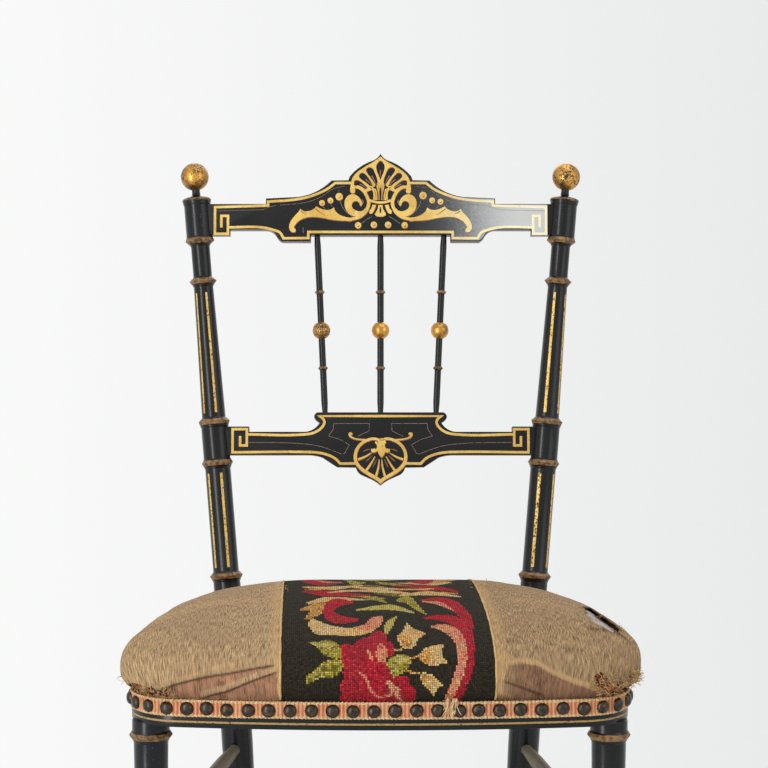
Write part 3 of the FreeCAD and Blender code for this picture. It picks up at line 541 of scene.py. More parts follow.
def turnedPost(word, side):
    shape = lathe(postProfile(), steps=64)
    head = postMatrix(side)
    bend, sole = rearLegPoint(side, chair["bendHeight"]), rearLegPoint(side, 0)
    foot = between(bend, bend + (bend - sole))
    for vert in shape.verts:
        share = smoothStep(-post["bendEase"], post["bendEase"], vert.co.z)
        vert.co = (foot @ vert.co).lerp(head @ vert.co, share)
    cut = bmesh.ops.bisect_plane(shape, geom=shape.verts[:] + shape.edges[:] + shape.faces[:],
                                 plane_co=(0, 0, 0), plane_no=(0, 0, 1), clear_inner=True)["geom_cut"]
    rim = [edge for edge in cut if isinstance(edge, bmesh.types.BMEdge)]
    bmesh.ops.contextual_create(shape, geom=rim)
    piece("turned_post_" + word, shape, paint, [f"rear_post_{word}"])


def shaftRadius(up):
    low, high = post["rings"][2][0] + 4.2, post["rings"][3][0] - 4.2
    if up < low:
        return post["shaft"]
    return post["midLow"] + (post["midHigh"] - post["midLow"]) * (up - low) / (high - low)


def postStripes(word, side):
    shape = bmesh.new()
    for low, high in post["stripes"]:
        for angle, width in post["stripeAngles"][side]:
            spots = []
            for up, sunk in ((low, 0), (high, 0), (high, 1), (low, 1)):
                spots.append(shape.verts.new((shaftRadius(up) + 0.13 - sunk, 0, up * postStretch)))
            edges = [shape.edges.new(pair) for pair in zip(spots, spots[1:] + spots[:1])]
            face = shape.faces.new(spots)
            start = math.radians(angle - width / 2 - 90)
            bmesh.ops.rotate(shape, cent=(0, 0, 0), matrix=Matrix.Rotation(start, 3, "Z"), verts=spots)
            bmesh.ops.spin(shape, geom=[*spots, *edges, face], cent=(0, 0, 0), axis=(0, 0, 1),
                           angle=math.radians(width), steps=4)
    bmesh.ops.remove_doubles(shape, verts=shape.verts, dist=0.001)
    bmesh.ops.recalc_face_normals(shape, faces=shape.faces)
    piece("post_stripes_" + word, shape, rubbedGilt, place=postMatrix(side))


def finialBall(word, side):
    radius = post["ball"]
    points = [(0, -radius * 0.96), (3.6, -radius * 0.965), *roundFace(radius, 26, 2, 26), (0, radius * 0.995)]
    shape = lathe(points, steps=56, ease=0.1)
    up = post["ballUp"] * postStretch
    piece("finial_gilt_" + word, shape, ballGilt, [f"finial_ball_{word}"],
          place=postMatrix(side) @ Matrix.Translation((0, 0, up)), sharp=60)


frontLeg = {"neck": 15.9, "ring": 18.5, "shaft": 14.7, "mid": 13.8, "low": 12.4, "blockRing": 17,
            "blockHalf": 21, "levels": ((165, "low", "low"), (290, "mid", "mid")), "top": 387}


def turnedLeg(word, side):
    points = [(0, 0), (8.4, 0), (9, 1.2), (11.4, 24)]
    points += ring(52, 13, 9.6, 9.6)
    for height, below, above in frontLeg["levels"]:
        for way in (-1, 1):
            points += ring(height + way * frontLeg["blockHalf"], frontLeg["blockRing"],
                           frontLeg[below], frontLeg[above])
    points += ring(frontLeg["top"], frontLeg["ring"], frontLeg["shaft"], frontLeg["neck"])
    points += [(frontLeg["neck"], 400.5), (0, 400.5)]
    piece("turned_leg_" + word, lathe(points, steps=64), paint, [f"front_leg_{word}"],
          place=Matrix.Translation(frontLegPoint(side, 0)))


stretcher = {"radius": 7, "end": 5.5, "taper": 60, "inset": 6,
             "levels": (("upper", 290), ("lower", 165)), "cross": 228}


def turnedStretcher(name, first, last, fancy=False):
    step = (last - first).normalized() * stretcher["inset"]
    start, stop = first + step, last - step
    length = (stop - start).length
    end, radius = stretcher["end"], stretcher["radius"]
    points = [(0, 0), (end, 0), (end, 14), (radius, stretcher["taper"])]
    if fancy:
        for reach, wide in ((-34, 9.5), (0, 11), (34, 9.5)):
            points += ring(length / 2 + reach, wide, radius, radius)
    points += [(radius, length - stretcher["taper"]), (end, length - 14), (end, length), (0, length)]
    piece(name + "_turned", lathe(points, steps=32), stretcherPaint, [name],
          place=between(start, stop))


for word, side in sides:
    turnedPost(word, side)
    postStripes(word, side)
    finialBall(word, side)
    turnedLeg(word, side)
    for level, height in stretcher["levels"]:
        turnedStretcher(f"side_stretcher_{level}_{word}", frontLegPoint(side, height),
                        rearLegPoint(side, height))
cross = stretcher["cross"]
turnedStretcher("front_stretcher", frontLegPoint(-1, cross), frontLegPoint(1, cross), fancy=True)
turnedStretcher("rear_stretcher", rearLegPoint(-1, cross), rearLegPoint(1, cross))

print("back rails and spindles")
# Half outlines from the middle out, as shares of reach and height. Four numbers: an arc's end
# and a point on it.
crestRail = {
    "base": 360.4, "height": 88.8, "reach": 170, "ends": (0.075, 0.426),
    "under": ((0.413, 0.072), (0.413, 0.0), (0.583, 0.0), (0.614, 0.057, 0.6, 0.022),
              (0.688, 0.137, 0.64, 0.115), (0.891, 0.137), (0.891, 0.075)),
    "over": ((0.678, 0.426), (0.678, 0.489), (0.49, 0.506), (0.29, 0.694, 0.377, 0.572),
             (0.19, 0.698), (0.183, 0.739), (0.056, 0.915, 0.128, 0.84), (0.0, 1.0, 0.021, 0.95)),
}
lowerRail = {
    "base": 115.2, "height": 73.2, "reach": 152, "ends": (0.413, 0.806),
    "under": ((0.0, 0.0), (0.061, 0.085, 0.031, 0.05), (0.115, 0.135), (0.162, 0.245, 0.147, 0.18),
              (0.285, 0.25), (0.381, 0.38, 0.33, 0.31), (0.472, 0.415, 0.425, 0.405)),
    "over": ((0.866, 0.806), (0.866, 0.734), (0.512, 0.734), (0.4, 0.858, 0.437, 0.775),
             (0.436, 0.926, 0.424, 0.889), (0.411, 1.0, 0.431, 0.974)),
}


def arcPoints(start, via, stop, steps=7):  # along the circle through three points, after start
    first, second = via - start, stop - via
    across = Vector((first.y, -first.x))
    other = Vector((second.y, -second.x))
    turn = across.x * other.y - across.y * other.x
    if abs(turn) < 1e-6:
        return [stop]
    mid, far = (start + via) / 2, (via + stop) / 2
    reach = ((far.x - mid.x) * other.y - (far.y - mid.y) * other.x) / turn
    centre = mid + across * reach
    begin = math.atan2(start.y - centre.y, start.x - centre.x)
    sweep = math.atan2(stop.y - centre.y, stop.x - centre.x) - begin
    passing = math.atan2(via.y - centre.y, via.x - centre.x) - begin
    if not 0 < passing % math.tau < sweep % math.tau:
        sweep = sweep % math.tau - math.tau
    else:
        sweep = sweep % math.tau
    radius = (start - centre).length
    turns = [begin + sweep * step / steps for step in range(1, steps + 1)]
    return [centre + Vector((math.cos(turn), math.sin(turn))) * radius for turn in turns]


def railHalf(rail):
    line = []

    def add(rows):
        for across, up, *via in rows:
            spot = Vector((across * rail["reach"], rail["base"] + up * rail["height"]))
            if via:
                passing = Vector((via[0] * rail["reach"], rail["base"] + via[1] * rail["height"]))
                line.extend(arcPoints(line[-1], passing, spot))
            else:
                line.append(spot)

    add(rail["under"])
    for share in rail["ends"]:  # the ends stand inside the posts
        up = rail["base"] + share * rail["height"]
        line.append(Vector((chair["bendHalf"] + up * math.tan(math.radians(chair["splay"])), up)))
    add(rail["over"])
    return line


def sawnRail(name, rail, node, finish, ease=1.1):
    half = railHalf(rail)
    other = [Vector((-spot.x, spot.y)) for spot in half[::-1] if abs(spot.x) > 0.01]
    outline = half + other
    shape = bmesh.new()
    front, thick = chair["railFront"], chair["railThick"]
    rim = [shape.verts.new((spot.x, front, spot.y)) for spot in outline]
    face = shape.faces.new(rim)
    grown = bmesh.ops.extrude_face_region(shape, geom=[face])["geom"]
    behind = [one for one in grown if isinstance(one, bmesh.types.BMVert)]
    bmesh.ops.translate(shape, vec=(0, thick, 0), verts=behind)
    bmesh.ops.recalc_face_normals(shape, faces=shape.faces)
    corners = [edge for edge in shape.edges if abs(edge.verts[0].co.y - edge.verts[1].co.y) < 0.01]
    bmesh.ops.bevel(shape, geom=corners, offset=ease, offset_type="OFFSET", segments=3, profile=0.5,
                    affect="EDGES", material=-1, clamp_overlap=True)
    worn = shape.verts.layers.float.new("worn")
    for vert in shape.verts:
        depth = min(vert.co.y - front, front + thick - vert.co.y)
        vert[worn] = 0.36 if 0.02 < depth < ease - 0.02 else 0.0
    piece(name, shape, finish, [node], place=backPlane, sharp=30)


sawnRail("crest_sawn", crestRail, "crest_rail", crestPaint)
sawnRail("lower_rail_sawn", lowerRail, "lower_back_rail", paint)

spindle = {
    "radius": 3.3, "end": 2.7, "ring": 5.1, "ringHalf": 2.2, "ringReach": 38.3, "ringLower": 6.3,
    "seatDepth": 10, "low": 188.4, "high": 366.8, "lowHalf": 55.63, "highHalf": 63.75, "bead": 8.9,
    "beadUp": 271,
}
for word, side in (("left", -1), ("centre", 0), ("right", 1)):
    low = onBack(side * spindle["lowHalf"], spindle["low"])
    high = onBack(side * spindle["highHalf"], spindle["high"])
    step = (high - low).normalized() * spindle["seatDepth"]
    length = (high - low).length + 2 * spindle["seatDepth"]
    radius, rise = spindle["radius"], spindle["ringHalf"]
    points = [(0, 0), (spindle["end"], 0), (spindle["end"], 10), (radius, 20)]
    for way in (-1, 1):
        spot = length / 2 - spindle["ringLower"] + way * spindle["ringReach"]
        points += [(radius, spot - rise), (spindle["ring"] - 0.3, spot - 0.5, 0.9),
                   (spindle["ring"], spot, 1.0), (spindle["ring"] - 0.4, spot + 0.6, 0.8),
                   (radius, spot + rise, 0.2)]
    points += [(radius, length - 20), (spindle["end"], length - 10), (spindle["end"], length), (0, length)]
    piece("turned_spindle_" + word, lathe(points, steps=28, ease=0.35), paint,
          [f"spindle_{word}"], place=between(low - step, high + step))
    share = (spindle["beadUp"] - spindle["low"]) / (spindle["high"] - spindle["low"])
    end = (spindle["radius"] - 0.1, spindle["bead"] * 0.93)
    bead = [(end[0], -end[1]), *roundFace(spindle["bead"], 20, 2, 19), end]
    axis = between(low, high)
    axis.translation = low + (high - low) * share
    piece("bead_gilt_" + word, lathe(bead, steps=40, ease=0.1), beadGilt[word],
          [f"spindle_bead_{word}"], place=axis, sharp=60)

print("gilt stencils")
# The stencils are drawn on squares counted from the photograph's left and top edge: across, down.
# For each rail: its level in the drawing and its height on the back, then a square's width and height.
stencil = {
    "line": 2.5, "middle": 379.5, "shade": (0.3, -0.85),
    "crest": (203.4, 398.3, 1.0045, 1.0108), "lower": (412, 188.5, 0.998, 0.9976),
    # the shell is drawn larger, from its own corner
    "shellSquares": 17.42, "shellLeft": 340, "shellTop": 145, "shellShift": 2,
}


def drawnOn(rail):
    level, height, wide, tall = stencil[rail]

    def draw(points, flip=False):
        way = -wide if flip else wide
        return [((spot[0] - stencil["middle"]) * way, height - (spot[1] - level) * tall, *spot[2:])
                for spot in points]

    return draw


crestDraw, lowerDraw = drawnOn("crest"), drawnOn("lower")


def shellDraw(points, flip=False):
    squares = stencil["shellSquares"]
    middle, top = stencil["middle"], stencil["shellTop"]
    start = (middle - stencil["shellLeft"]) * squares + stencil["shellShift"]
    return crestDraw([(middle + (spot[0] - start) / squares, top + spot[1] / squares, *spot[2:])
                      for spot in points], flip)


def shaded(name, groups):  # the brown edge below each gilt figure
    right, up = stencil["shade"]
    moved = []
    for group in groups:
        moved.append([[(spot[0] + right, spot[1] + up) for spot in loop] for loop in loopsOf(group)])
    painted(name, moved, brownStroke, thick=0.06)


def solid(points):
    return traced(points, closed=True)


def figures(draw, rows):  # both sides of each row: points, and a stroke's width if it isn't solid
    loops = []
    for points, *stroke in rows:
        for flip in (False, True):
            line = draw(points, flip)
            loops.append(band(line, *stroke) if stroke else solid(line))
    return loops


crestLine = figures(crestDraw, [((
    (353, 182.6, 1), (334.2, 182.7, 1), (325, 189.4), (315, 193.9), (304.9, 197.2), (292, 199.5),
    (267.0, 201.3, 1), (267.0, 205.3, 1), (213.9, 206.9, 1), (213.9, 233.5, 1), (226.9, 233.5, 1),
    (226.9, 215.6, 1), (220.3, 215.6, 1), (220.3, 227.2, 1)), stencil["line"])])
under = [(226.9, 227.1, 1), (262, 227.2), (272, 229.6), (279, 232.4), (282.4, 238, 1), (307.3, 237.8, 1),
         (307.3, 231.7, 1)]
crestLine.append(band(crestDraw(under) + crestDraw(under[::-1], True), stencil["line"]))
leaf = [(352, 219.6), (343, 220.3), (332.6, 219.6), (322, 217.6), (312, 216.6), (304, 217.4), (298.5, 220.2),
        (294.6, 223.8), (292.6, 227.0, 1), (294.6, 229.2), (294.2, 231.4), (291.4, 231.9), (289.1, 230.2),
        (288.0, 226.4), (289.6, 221.2), (293.6, 215.6), (297.4, 211.6), (299.2, 208.6, 1), (302.2, 210.6),
        (306, 211), (310.6, 209.8), (313.6, 208), (315.2, 206, 1), (319.4, 208.2), (324.4, 209.6),
        (329.4, 209.2), (332.9, 207.2, 1), (334.4, 210.8), (338.2, 214.2), (344, 216.6), (352, 217.6, 1)]
crestFigures = figures(crestDraw, [(leaf,)])
volute = [(352, 1062, 1), (330, 1040), (318, 1000), (270, 968), (215, 985), (188, 1035), (205, 1095),
          (262, 1135), (330, 1150), (392, 1130), (425, 1098), (436, 1120), (405, 1172), (352, 1216),
          (270, 1240), (180, 1216), (105, 1150), (66, 1060), (72, 950), (125, 878), (205, 852), (282, 878),
          (338, 935), (366, 1000)]
crestFigures += figures(shellDraw, [(volute,)])
scroll = [(225, 788), (232, 742), (282, 728), (345, 752), (410, 812), (455, 895), (483, 985), (468, 1080),
          (420, 1165), (345, 1232), (265, 1268), (160, 1284), (60, 1290)]
crestFigures += figures(shellDraw, [(scroll, [1.3, 2.6, 3.1, 3.4, 3.3, 3.0, 2.4], 6)])
crestFigures += [disc(*shellDraw([(205, 795)], flip)[0], 2.5) for flip in (False, True)]
fanEdge = [(690, 192, 1), (628, 244), (548, 298), (462, 346), (376, 400), (300, 452), (238, 512), (198, 575),
           (178, 645), (165, 720), (168, 790), (212, 792), (226, 738), (262, 712), (322, 716), (384, 752),
           (436, 806), (470, 800), (500, 780), (548, 745), (590, 700), (640, 668), (690, 660)]
fan = traced(shellDraw(fanEdge)) + traced(shellDraw(fanEdge, True))[::-1][1:-1]
voids = [[(372, 474), (322, 500), (314, 542), (352, 592), (438, 650), (512, 712, 1), (556, 706, 1),
          (526, 640), (476, 560), (424, 500)],
         [(500, 378), (450, 396), (438, 434), (466, 494), (522, 565), (572, 640), (606, 690, 1),
          (640, 650, 1), (628, 572), (590, 474), (556, 406)],
         [(272, 602), (228, 622), (218, 668), (244, 700), (306, 700), (372, 732), (432, 768, 1),
          (468, 738, 1), (402, 676), (334, 622)]]
shellLoops = [fan, solid(shellDraw([(688, 264), (640, 302), (614, 362), (624, 440), (656, 522), (688, 604, 1),
                                    (720, 522), (752, 440), (762, 362), (736, 302)]))]
shellLoops += figures(shellDraw, [(void,) for void in voids])
stems = [[(688, 634, 1), (648, 660), (622, 706), (634, 770), (650, 850), (656, 950, 1), (722, 950, 1),
          (728, 850), (744, 770), (756, 706), (730, 660)],
         [(688, 712, 1), (676, 760), (676, 950, 1), (702, 950, 1), (702, 760)]]
stemLoops = [[solid(shellDraw(loop)) for loop in stems]]
stemLoops += figures(shellDraw, [([(560, 950, 1), (566, 880), (558, 812), (534, 778), (500, 790), (470, 770),
                                   (458, 738), (486, 706), (530, 712), (566, 748), (606, 760), (628, 830),
                                   (638, 950, 1)],)])
collar = [(505, 938, 1), (600, 966), (688, 974), (776, 966), (871, 938, 1), (868, 984, 1), (776, 1010),
          (688, 1018), (600, 1010), (508, 984, 1)]
stemLoops.append(solid(shellDraw(collar)))
tassel = [(650, 1040, 1), (640, 1110), (606, 1170), (592, 1206), (622, 1236), (688, 1246), (754, 1236),
          (784, 1206), (770, 1170), (736, 1110), (726, 1040, 1)]
tasselSlit = [(688, 1060, 1), (676, 1100), (676, 1170), (688, 1184), (700, 1170), (700, 1100)]
stemLoops.append([solid(shellDraw(loop)) for loop in (tassel, tasselSlit)])
stemLoops += figures(shellDraw, [([(548, 1034, 1), (530, 1100), (494, 1146), (500, 1186), (540, 1190),
                                   (580, 1140), (616, 1040, 1)],)])
crestDots = [(320.9, 202.5, 2.9), (329.3, 200.1, 2.9), (338.1, 196.3, 3.7), (439.5, 201.3, 2.9),
             (431.1, 199.9, 2.9), (422, 195.1, 3.7), (357, 225, 3.2), (372.8, 224.4, 3.2), (387, 224.4, 3.2),
             (403.6, 224.8, 3.2)]
veins = []
for across, down, radius in crestDots:
    spot = crestDraw([(across, down)])[0]
    crestFigures.append(disc(*spot, radius))
    turns = [math.radians(angle) for angle in (-130, -95, -60, -25, 10)]
    inner = [(spot[0] + radius * 0.42 * math.cos(turn), spot[1] + radius * 0.42 * math.sin(turn))
             for turn in turns]
    veins.append(band(inner, [0.3, 0.75, 0.9, 0.75, 0.3]))
painted("crest_gilding", crestLine + crestFigures, crestGold)
painted("crest_shell", [shellLoops], gilt, thick=0.17)
painted("crest_shell_stems", stemLoops, gilt, thick=0.2)
shaded("crest_gilding_edge", crestFigures + [shellLoops])

petal = [1.1, 0.9, 0.35]
pinkLoops = [band(shellDraw([(688, 425), (687, 480), (688, 555)]), [1.0, 0.8, 0.3])]
pinkLoops += figures(shellDraw, [
    ([(535, 525), (570, 585), (604, 660)], petal), ([(432, 590), (486, 640), (536, 696)], petal),
    ([(330, 676), (392, 708), (448, 748)], petal),
    ([(374, 945), (384, 985), (366, 1030), (344, 1055)], [0.4, 1.3, 1.2, 0.3])])
pinkLoops.append(band(shellDraw([(150, 1180), (105, 1120), (72, 1040)], True), [0.4, 1.0, 0.4]))
painted("crest_shading", pinkLoops, pinkStroke, thick=0.12)
leafVein, stemVein = [0.9, 0.7, 0.3], [0.3, 0.7, 0.7]
veins += figures(crestDraw, [
    ([(299.8, 210.6), (302.6, 212.6), (305.6, 213.8)], leafVein),
    ([(314.4, 208.5), (318.6, 211.8), (324.2, 214.8)], leafVein),
    ([(296, 222.4), (300, 219.6), (305, 218.4)], leafVein)])
veins += figures(shellDraw, [
    ([(585, 772), (606, 850), (612, 930)], stemVein),
    ([(646, 690), (660, 760), (664, 850), (664, 935)], stemVein),
    ([(500, 742), (520, 732), (536, 752), (520, 768)], [0.3, 0.8, 0.8, 0.3])])
painted("crest_veins", veins, brownStroke, thick=0.24)
painted("crest_thin_lines", figures(crestDraw, [
    ([(321.5, 205.6), (324, 208.4)], 0.45), ([(329.8, 203.4), (331.2, 206.4)], 0.45),
    ([(339, 200.6), (341.4, 206.6), (346, 212.4), (351, 216)], 0.45),
    ([(371, 216), (364, 220.4), (360, 223.4)], 0.45), ([(338, 192), (337.8, 189.4)], 0.45),
    ([(302, 227), (302.2, 232.6)], 0.45),
    ([(214.5, 210.6, 1), (262, 209.4, 1), (270, 206.2), (292, 203.8), (307, 201.6), (320, 196.4),
      (333, 188.2), (344, 185.8)], 0.32)]), paleLine, thick=0.1)

lowerLine = figures(lowerDraw, [((
    (355.5, 463.4, 1), (339.2, 463.6, 1), (334, 458.4), (326, 454.6), (315, 452.4), (302, 451.9),
    (231.5, 452.3, 1), (231.5, 429.1, 1), (245.7, 429.1, 1), (245.7, 445.4, 1), (239, 445.4, 1),
    (239, 435.9, 1)),
    stencil["line"]), ([(246.4, 434.3, 1), (300, 434.6), (313, 432.6), (320.2, 428), (323.4, 422.4),
                        (321.8, 418.4), (318.6, 416, 1), (379.5, 416, 1)], stencil["line"])])
heart = [(380.6, 440.4), (372, 438.6), (363.4, 441.4), (357.2, 447), (354.4, 454.4), (355.2, 462),
         (360, 468.4), (368, 474), (376, 478.6), (380.6, 482.6, 1)]
lowerFigures = figures(lowerDraw, [
    (heart, [2.2, 2.6, 3.0, 3.3, 3.4, 3.4, 3.4]),
    ([(368, 440.2), (361, 439.6), (354, 438.6), (349.6, 436.6), (347.6, 434.4)], [2.2, 1.6, 1.4, 1.8, 1.0]),
    ([(347.4, 434.4), (348.4, 436.6), (352, 438.4, 1), (350, 435.6), (351.6, 433.6), (350, 432.4),
      (347.8, 432.9)],),
    ([(374.5, 441.5), (377, 445.5), (375.6, 450), (371.6, 451.6), (370.6, 448.8)],
     [2.0, 1.9, 1.9, 1.6, 1.2])])
lowerFigures += [disc(*lowerDraw([(373.2, 450.4)], flip)[0], 2.0) for flip in (False, True)]
drop = [(380.4, 438, 1), (376.8, 440.6), (377.6, 444.2), (376.4, 449.6), (377.8, 454), (380.6, 457.8, 1),
        (383.4, 454), (384.8, 449.6), (383.6, 444.2), (384.4, 440.6)]
lowerFigures.append(solid(lowerDraw(drop)))
lowerFigures += figures(lowerDraw, [
    ([(378.2, 459.4), (377.4, 467), (375.2, 475.6)], [0.7, 1.6, 2.3]),
    ([(374, 456.4), (369.6, 464), (365, 470.6)], [0.7, 1.7, 2.3]),
    ([(370.4, 452.8), (364, 456.6), (357, 459.4)], [0.7, 1.7, 2.2])])
painted("lower_gilding", lowerLine + lowerFigures, gilt)
shaded("lower_gilding_edge", lowerFigures)
lobe = [0.4, 1.2, 0.4]
painted("lower_shading", figures(lowerDraw, [
    ([(375.8, 459), (373.4, 464), (371.8, 467.4)], lobe),
    ([(371.6, 455.4), (367, 459.6), (364.6, 461.4)], lobe),
    ([(369.6, 449), (365.6, 449.8), (362, 451.6)], lobe),
    ([(380.6, 460.4), (380.6, 465), (380.6, 469)], lobe)]),
    brownStroke, thick=0.12)
strap = [(247.8, 442.4, 1), (280, 442.6), (308.4, 444.4), (320, 446.6), (332, 450.6), (340.3, 454, 1),
         (343.5, 453.4, 1), (348.3, 444.8, 1), (340, 440), (327.6, 436, 1), (332, 429.4, 1),
         (332.7, 423.4, 1), (368.4, 423.4, 1), (368, 430.8, 1), (356.9, 436.2, 1)]
painted("lower_thin_lines", figures(lowerDraw, [(strap, 0.4)]), paleLine, thick=0.1)

print("seat frame")
seat = {
    "crown": 60, "inset": 118, "rebate": 3.2, "skin": 1.3, "panelHalf": 89, "panelTurn": 1.9,
    "roundShare": 0.46, "dome": 2.4, "padDraw": 2.4, "padLow": 428.6, "voxel": 6, "pressure": 4.0,
    "padCap": 3.0,
    # from the frame up: height share, inset share at the sides, front corner, rear inset share, rear corner
    "rows": ((0.15, -0.059, 1.04, -0.017, 0.42), (0.317, -0.072, 1.08, 0.008, 0.54),
             (0.483, -0.059, 1.12, 0.076, 0.71), (0.617, -0.013, 1.21, 0.203, 0.88),
             (0.717, 0.076, 1.33, 0.39, 1.08), (0.817, 0.237, 1.46, 0.644, 1.25),
             (0.9, 0.458, 1.58, 0.88, 1.36), (0.95, 0.635, 1.54, 1.03, 1.38), (0.98, 0.78, 1.46, 1.16, 1.38),
             (1.0, 0.93, 1.38, 1.29, 1.38)),
}


def seatHalf(inset, corner, rearCorner, rearInset, counts=(30, 14, 34, 8, 18)):  # from front to rear
    half, depth, bow = chair["halfFront"], chair["depth"], chair["bow"]
    lean = (half - chair["halfRear"]) / depth
    stretch = math.sqrt(1 + lean ** 2)
    sweep = (half ** 2 + bow ** 2) / (2 * bow)
    centre = sweep - bow
    sweep -= inset
    start = half - (inset + corner) * stretch
    turn = start * lean + centre
    rest = start ** 2 + centre ** 2 - (sweep - corner) ** 2
    cornerY = (turn - math.sqrt(turn ** 2 - (1 + lean ** 2) * rest)) / (1 + lean ** 2)
    cornerX = half - lean * cornerY - (inset + corner) * stretch
    rearY = depth - rearInset - rearCorner
    rearX = half - lean * rearY - (inset + rearCorner) * stretch
    facing, outward = math.atan2(cornerY - centre, cornerX), math.atan(lean)

    def bent(x, y, radius, first, last, count):
        return [Vector((x + radius * math.cos(first + (last - first) * step / count),
                        frontLine + y + radius * math.sin(first + (last - first) * step / count)))
                for step in range(count)]

    points = bent(0, centre, sweep, -math.pi / 2, facing, counts[0])
    points += bent(cornerX, cornerY, corner, facing, outward, counts[1])
    first = bent(cornerX, cornerY, corner, outward, outward, 1)[0]
    last = bent(rearX, rearY, rearCorner, outward, outward, 1)[0]
    points += [first.lerp(last, step / counts[2]) for step in range(counts[2])]
    points += bent(rearX, rearY, rearCorner, outward, math.pi / 2, counts[3])
    last = bent(rearX, rearY, rearCorner, math.pi / 2, math.pi / 2, 1)[0]
    points += [last.lerp(Vector((0, last.y)), step / counts[4]) for step in range(counts[4] + 1)]
    return points


def seatRing(height, *shape, **counts):
    half = seatHalf(*shape, **counts)
    ringOf = half + [Vector((-spot.x, spot.y)) for spot in half[-2:0:-1]]
    return [Vector((spot.x, spot.y, height)) for spot in ringOf]


def crownRow(number, skin):
    top, inset, corner = chair["frameTop"], seat["inset"], chair["frontCorner"]
    if number <= 0:
        face = seat["rebate"] - seat["skin"] + skin
        return (top + number, face, corner - face, chair["rearCorner"], face)
    up, side, frontTurn, rear, rearTurn = seat["rows"][min(number, len(seat["rows"])) - 1]
    drawn = skin * (1 - up)
    most = seat["roundShare"] * (chair["depth"] + chair["bow"] - (side + rear) * inset - 2 * drawn)
    return (top + up * (seat["crown"] - skin), side * inset + drawn, min(frontTurn * corner, most),
            min(rearTurn * corner, most), rear * inset + drawn)


def crownRing(level, skin, **counts):  # level 0 is the frame's top, 10 the last row; smooth between rows
    low = min(int(level), len(seat["rows"]) - 1)
    share = level - low
    rows = [crownRow(low + step, skin) for step in (-1, 0, 1, 2)]
    mixed = [0.5 * (2 * b + (c - a) * share + (2 * a - 5 * b + 4 * c - d) * share ** 2
                    + (3 * b - a - 3 * c + d) * share ** 3) for a, b, c, d in zip(*rows)]
    return seatRing(*mixed, **counts)


def crownRings(skin, levels, wall, cap, **counts):  # the crown's skin, as rings from the wall up
    rings = [seatRing(height, *crownRow(0, skin)[1:], **counts) for height in wall]
    rings += [crownRing(10 * step / levels, skin, **counts) for step in range(levels + 1)]
    last = rings[-1]
    centre = sum(last, Vector()) / len(last)
    for step in range(1, cap + 1):
        share = 1 - step / (cap + 0.5)
        rings.append([centre.lerp(spot, share) + Vector((0, 0, seat["dome"] * (1 - share * share)))
                      for spot in last])
    return rings, centre + Vector((0, 0, seat["dome"]))


def loft(rings, top=None, bottom=None):
    shape = bmesh.new()
    rows = [[shape.verts.new(spot) for spot in one] for one in rings]
    for lower, upper in zip(rows, rows[1:]):
        bridge(shape, lower, upper, around=True)
    for spot, row in ((top, rows[-1]), (bottom, rows[0][::-1])):
        if spot is not None:
            peak = shape.verts.new(spot)
            for number in range(len(row)):
                shape.faces.new((row[number], row[(number + 1) % len(row)], peak))
    bmesh.ops.recalc_face_normals(shape, faces=shape.faces)
    return shape, rows


def softened(node, finish, width=0.7, inside=None):  # a copy of a CAD node with its edges eased
    shape = bmesh.new()
    shape.from_mesh(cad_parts[node].data)
    bmesh.ops.scale(shape, vec=(1000, 1000, 1000), verts=shape.verts)
    bmesh.ops.remove_doubles(shape, verts=shape.verts, dist=0.004)
    bmesh.ops.dissolve_limit(shape, angle_limit=math.radians(0.6), verts=shape.verts, edges=shape.edges)
    crisp = [edge for edge in shape.edges
             if len(edge.link_faces) == 2 and edge.calc_face_angle(0) > math.radians(40)]
    bmesh.ops.bevel(shape, geom=crisp, offset=width, offset_type="OFFSET", segments=2, profile=0.5,
                    affect="EDGES", material=-1, clamp_overlap=True)
    worn = shape.verts.layers.float.new("worn")
    if inside:
        middle = Vector((0, frontLine + chair["depth"] / 2))
        for face in shape.faces:
            inward = (middle - face.calc_center_median().xy).normalized()
            if face.normal.z > 0.7 or inward.dot(face.normal.xy) > 0.4:
                face.material_index = 1
    for face in shape.faces:
        if face.calc_area() < 40 and abs(face.normal.z) < 0.95:
            for vert in face.verts:
                vert[worn] = 0.24
    return piece(node + "_eased", shape, [finish, inside] if inside else finish, [node], sharp=32)


for node in ("seat_front_rail", "seat_rear_rail", "seat_side_rail_left", "seat_side_rail_right"):
    softened(node, paint, inside=blockWood)
for word, side in sides:
    for end in ("front", "rear"):
        softened(f"corner_block_{end}_{word}", blockWood)
refinished("frame_dowels", blockWood)

frameLine = {"low": 404.2, "high": 405.8, "proud": 0.14, "stop": 348}


def strip(paths, closed):  # bands of faces between paths of equal length
    shape = bmesh.new()
    rows = [[shape.verts.new(spot) for spot in path] for path in paths]
    for lower, upper in zip(rows, rows[1:] + rows[:1] if closed else rows[1:]):
        bridge(shape, lower, upper)
    return shape, rows


def openPath(inset, height, stop, **counts):  # round the front from one rear post to the other
    line = seatHalf(inset, chair["frontCorner"] - inset, chair["rearCorner"], inset, **counts)
    half = [spot for spot in line if spot.y < stop]
    whole = [Vector((-spot.x, spot.y)) for spot in half[:0:-1]] + half
    return [Vector((spot.x, spot.y, height)) for spot in whole]


stop = frontLine + frameLine["stop"]
low, high, proud = frameLine["low"], frameLine["high"], frameLine["proud"]
shape, rows = strip([openPath(-proud, low, stop), openPath(-proud, high, stop), openPath(0.4, high, stop),
                     openPath(0.4, low, stop)], True)
for end in (0, -1):
    shape.faces.new([row[end] for row in rows])
bmesh.ops.recalc_face_normals(shape, faces=shape.faces)
piece("frame_gold_line", shape, frameGold)

print("webbing and base cloth")


